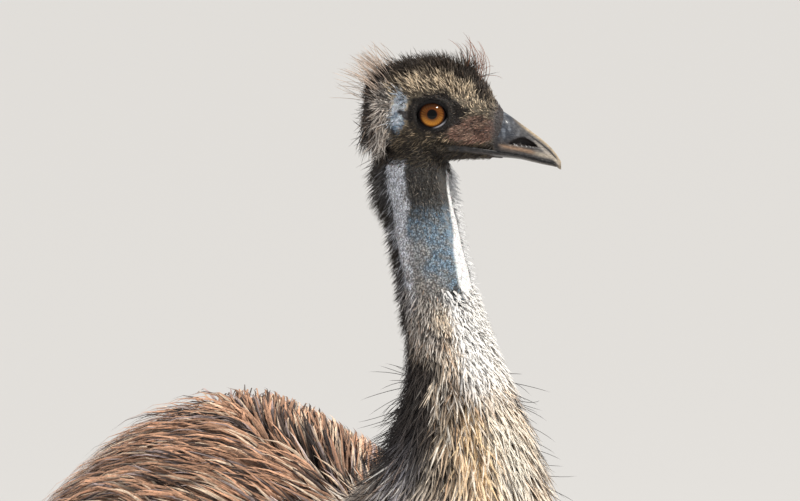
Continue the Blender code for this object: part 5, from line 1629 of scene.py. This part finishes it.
def make_legs(material, claw):
    for word, side in (("left", 1), ("right", -1)):
        limb = LEGS[word]
        ankle = smooth_rows(limb.rows, 13.0)[0]
        centre = np.array((ankle[0], ankle[1], 0.0))
        works = [shell(48, 150, lambda u, v: limb.surface(4.3 + 8.7 * v, math.tau * u, -0.0004))]
        works.append(shell(48, 24, heel_surface(centre, ankle[3], ankle[4], 0.2)))
        toes = []
        for toe, (turn, reach, half, height) in TOES.items():
            angle = math.radians(turn)
            towards = np.array((-side * math.sin(angle), -math.cos(angle), 0.0))
            works.append(shell(32, 70, toe_surface(centre, towards, reach, half, height)))
            toes.append(towards)
            make_claw(f"{toe}_{word}", centre, towards, reach, claw)
        mesh = fused(f"leg_{word}", works, voxel=0.0024, rounds=5)
        sculpt_leg(mesh, limb, centre, toes)
        paint(mesh, "tint", leg_tint(points_of(mesh)))
        nodes = [f"shank_{word}", f"foot_{word}"] + [f"toe_{toe}_{word}" for toe in TOES]
        piece(f"leg_{word}", mesh, material, nodes)


def make_claw(word, centre, towards, reach, material):
    def place(u, v):
        share = np.sin(np.pi / 2 * v)
        distance = reach - 0.004 + (CLAW_LENGTH + 0.004) * share
        size = np.clip(1 - share**1.7, 0, 1) ** 0.75
        angle = math.tau * u
        wide = 0.0078 * size * np.cos(angle)
        low = 0.0010 + 0.0006 * (1 - share)
        lift = low + 0.0135 * size * (1 - 0.2 * share) * (0.5 + 0.5 * np.sin(angle))
        return on_toe(centre, towards, distance, wide, lift)

    mesh = mesh_of("claw", [shell(32, 36, place)])
    points = points_of(mesh)
    share = ((points - centre) @ towards - reach) / CLAW_LENGTH
    paint(mesh, "tint", mix((0.050, 0.044, 0.040), (0.022, 0.020, 0.019), ramp(share, 0.1, 0.9)))
    piece(f"horn_{word}", mesh, material, (f"claw_{word}",))


# Stage


def make_stage():
    work = bmesh.new()
    bmesh.ops.create_grid(work, x_segments=1, y_segments=1, size=40.0)
    mesh = mesh_of("floor", [work])
    pale = bpy.data.materials.new("pale_floor")
    pale.use_nodes = True
    inputs = pale.node_tree.nodes["Principled BSDF"].inputs
    inputs["Base Color"].default_value = (0.58, 0.577, 0.570, 1)
    inputs["Roughness"].default_value = 0.8
    mesh.materials.append(pale)
    floor = bpy.data.objects.new("floor", mesh)
    bpy.context.scene.collection.objects.link(floor)


def aimed(data, place, target):
    """A light at a place, turned to its target."""
    made = bpy.data.objects.new(data.name, data)
    bpy.context.scene.collection.objects.link(made)
    made.location = place
    made.rotation_euler = (Vector(target) - Vector(place)).to_track_quat("-Z", "Y").to_euler()
    return made


def soft_box(name, place, target, size, power, colour):
    """A large soft light that leaves no reflection on the eye and the bill."""
    data = bpy.data.lights.new(name, "AREA")
    data.size, data.energy, data.color = size, power, colour
    aimed(data, place, target).visible_glossy = False


def make_lights():
    right, away = np.array((0.866, -0.5, 0)), np.array((0.5, 0.866, 0))
    middle = np.array((0.0, -0.30, 1.15))
    key = bpy.data.lights.new("key", "SUN")
    key.energy, key.angle, key.color = 3.7, math.radians(5), (1.0, 0.955, 0.89)
    aimed(key, middle + right * 1.5 + UP * 2.3 - away * 0.35, middle)
    soft_box("fill", middle - right * 1.2 - away * 2.4 + UP * 0.5, middle, 2.4, 20, (0.94, 0.96, 1.0))
    soft_box("back", middle - right * 1.6 + away * 1.8 + UP * 1.6, middle, 1.2, 22, (1.0, 0.95, 0.88))
    world = bpy.data.worlds.new("studio")
    world.use_nodes = True
    inputs = world.node_tree.nodes["Background"].inputs
    inputs["Color"].default_value = (0.86, 0.88, 0.92, 1)
    inputs["Strength"].default_value = 0.40
    bpy.context.scene.world = world


def make_camera():
    data = bpy.data.cameras.new("camera")
    data.lens = LENS_MM
    data.sensor_width = SENSOR_MM
    made = bpy.data.objects.new("camera", data)
    bpy.context.scene.collection.objects.link(made)
    made.location = Vector(CAMERA_PLACE) + Vector(SHIFT)
    made.rotation_euler = (math.pi / 2 - CAMERA_TILT, 0, CAMERA_TURN)
    bpy.context.scene.camera = made


def main():
    skin, feather, hair = skin_material(), feather_material(), hair_material()
    head = make_head_skin(skin)
    body = make_body_skin(undercoat_material())
    make_bill(horn_material())
    make_eyes(eye_material(), lid_material(), hair)
    make_legs(scale_material(), claw_material())
    make_body_feathers(body, feather)
    make_ruff((body, head), feather)
    make_stray_shafts(body, hair)
    make_neck_hair(head, hair)
    make_face_bristles(head, hair)
    make_crown_hair(head, hair)
    make_wisps(hair)
    make_wing_plumes(feather)
    make_tail_plumes(body, feather)
    make_stage()
    make_lights()
    make_camera()
    bpy.context.scene.view_settings.view_transform = "Standard"


main()
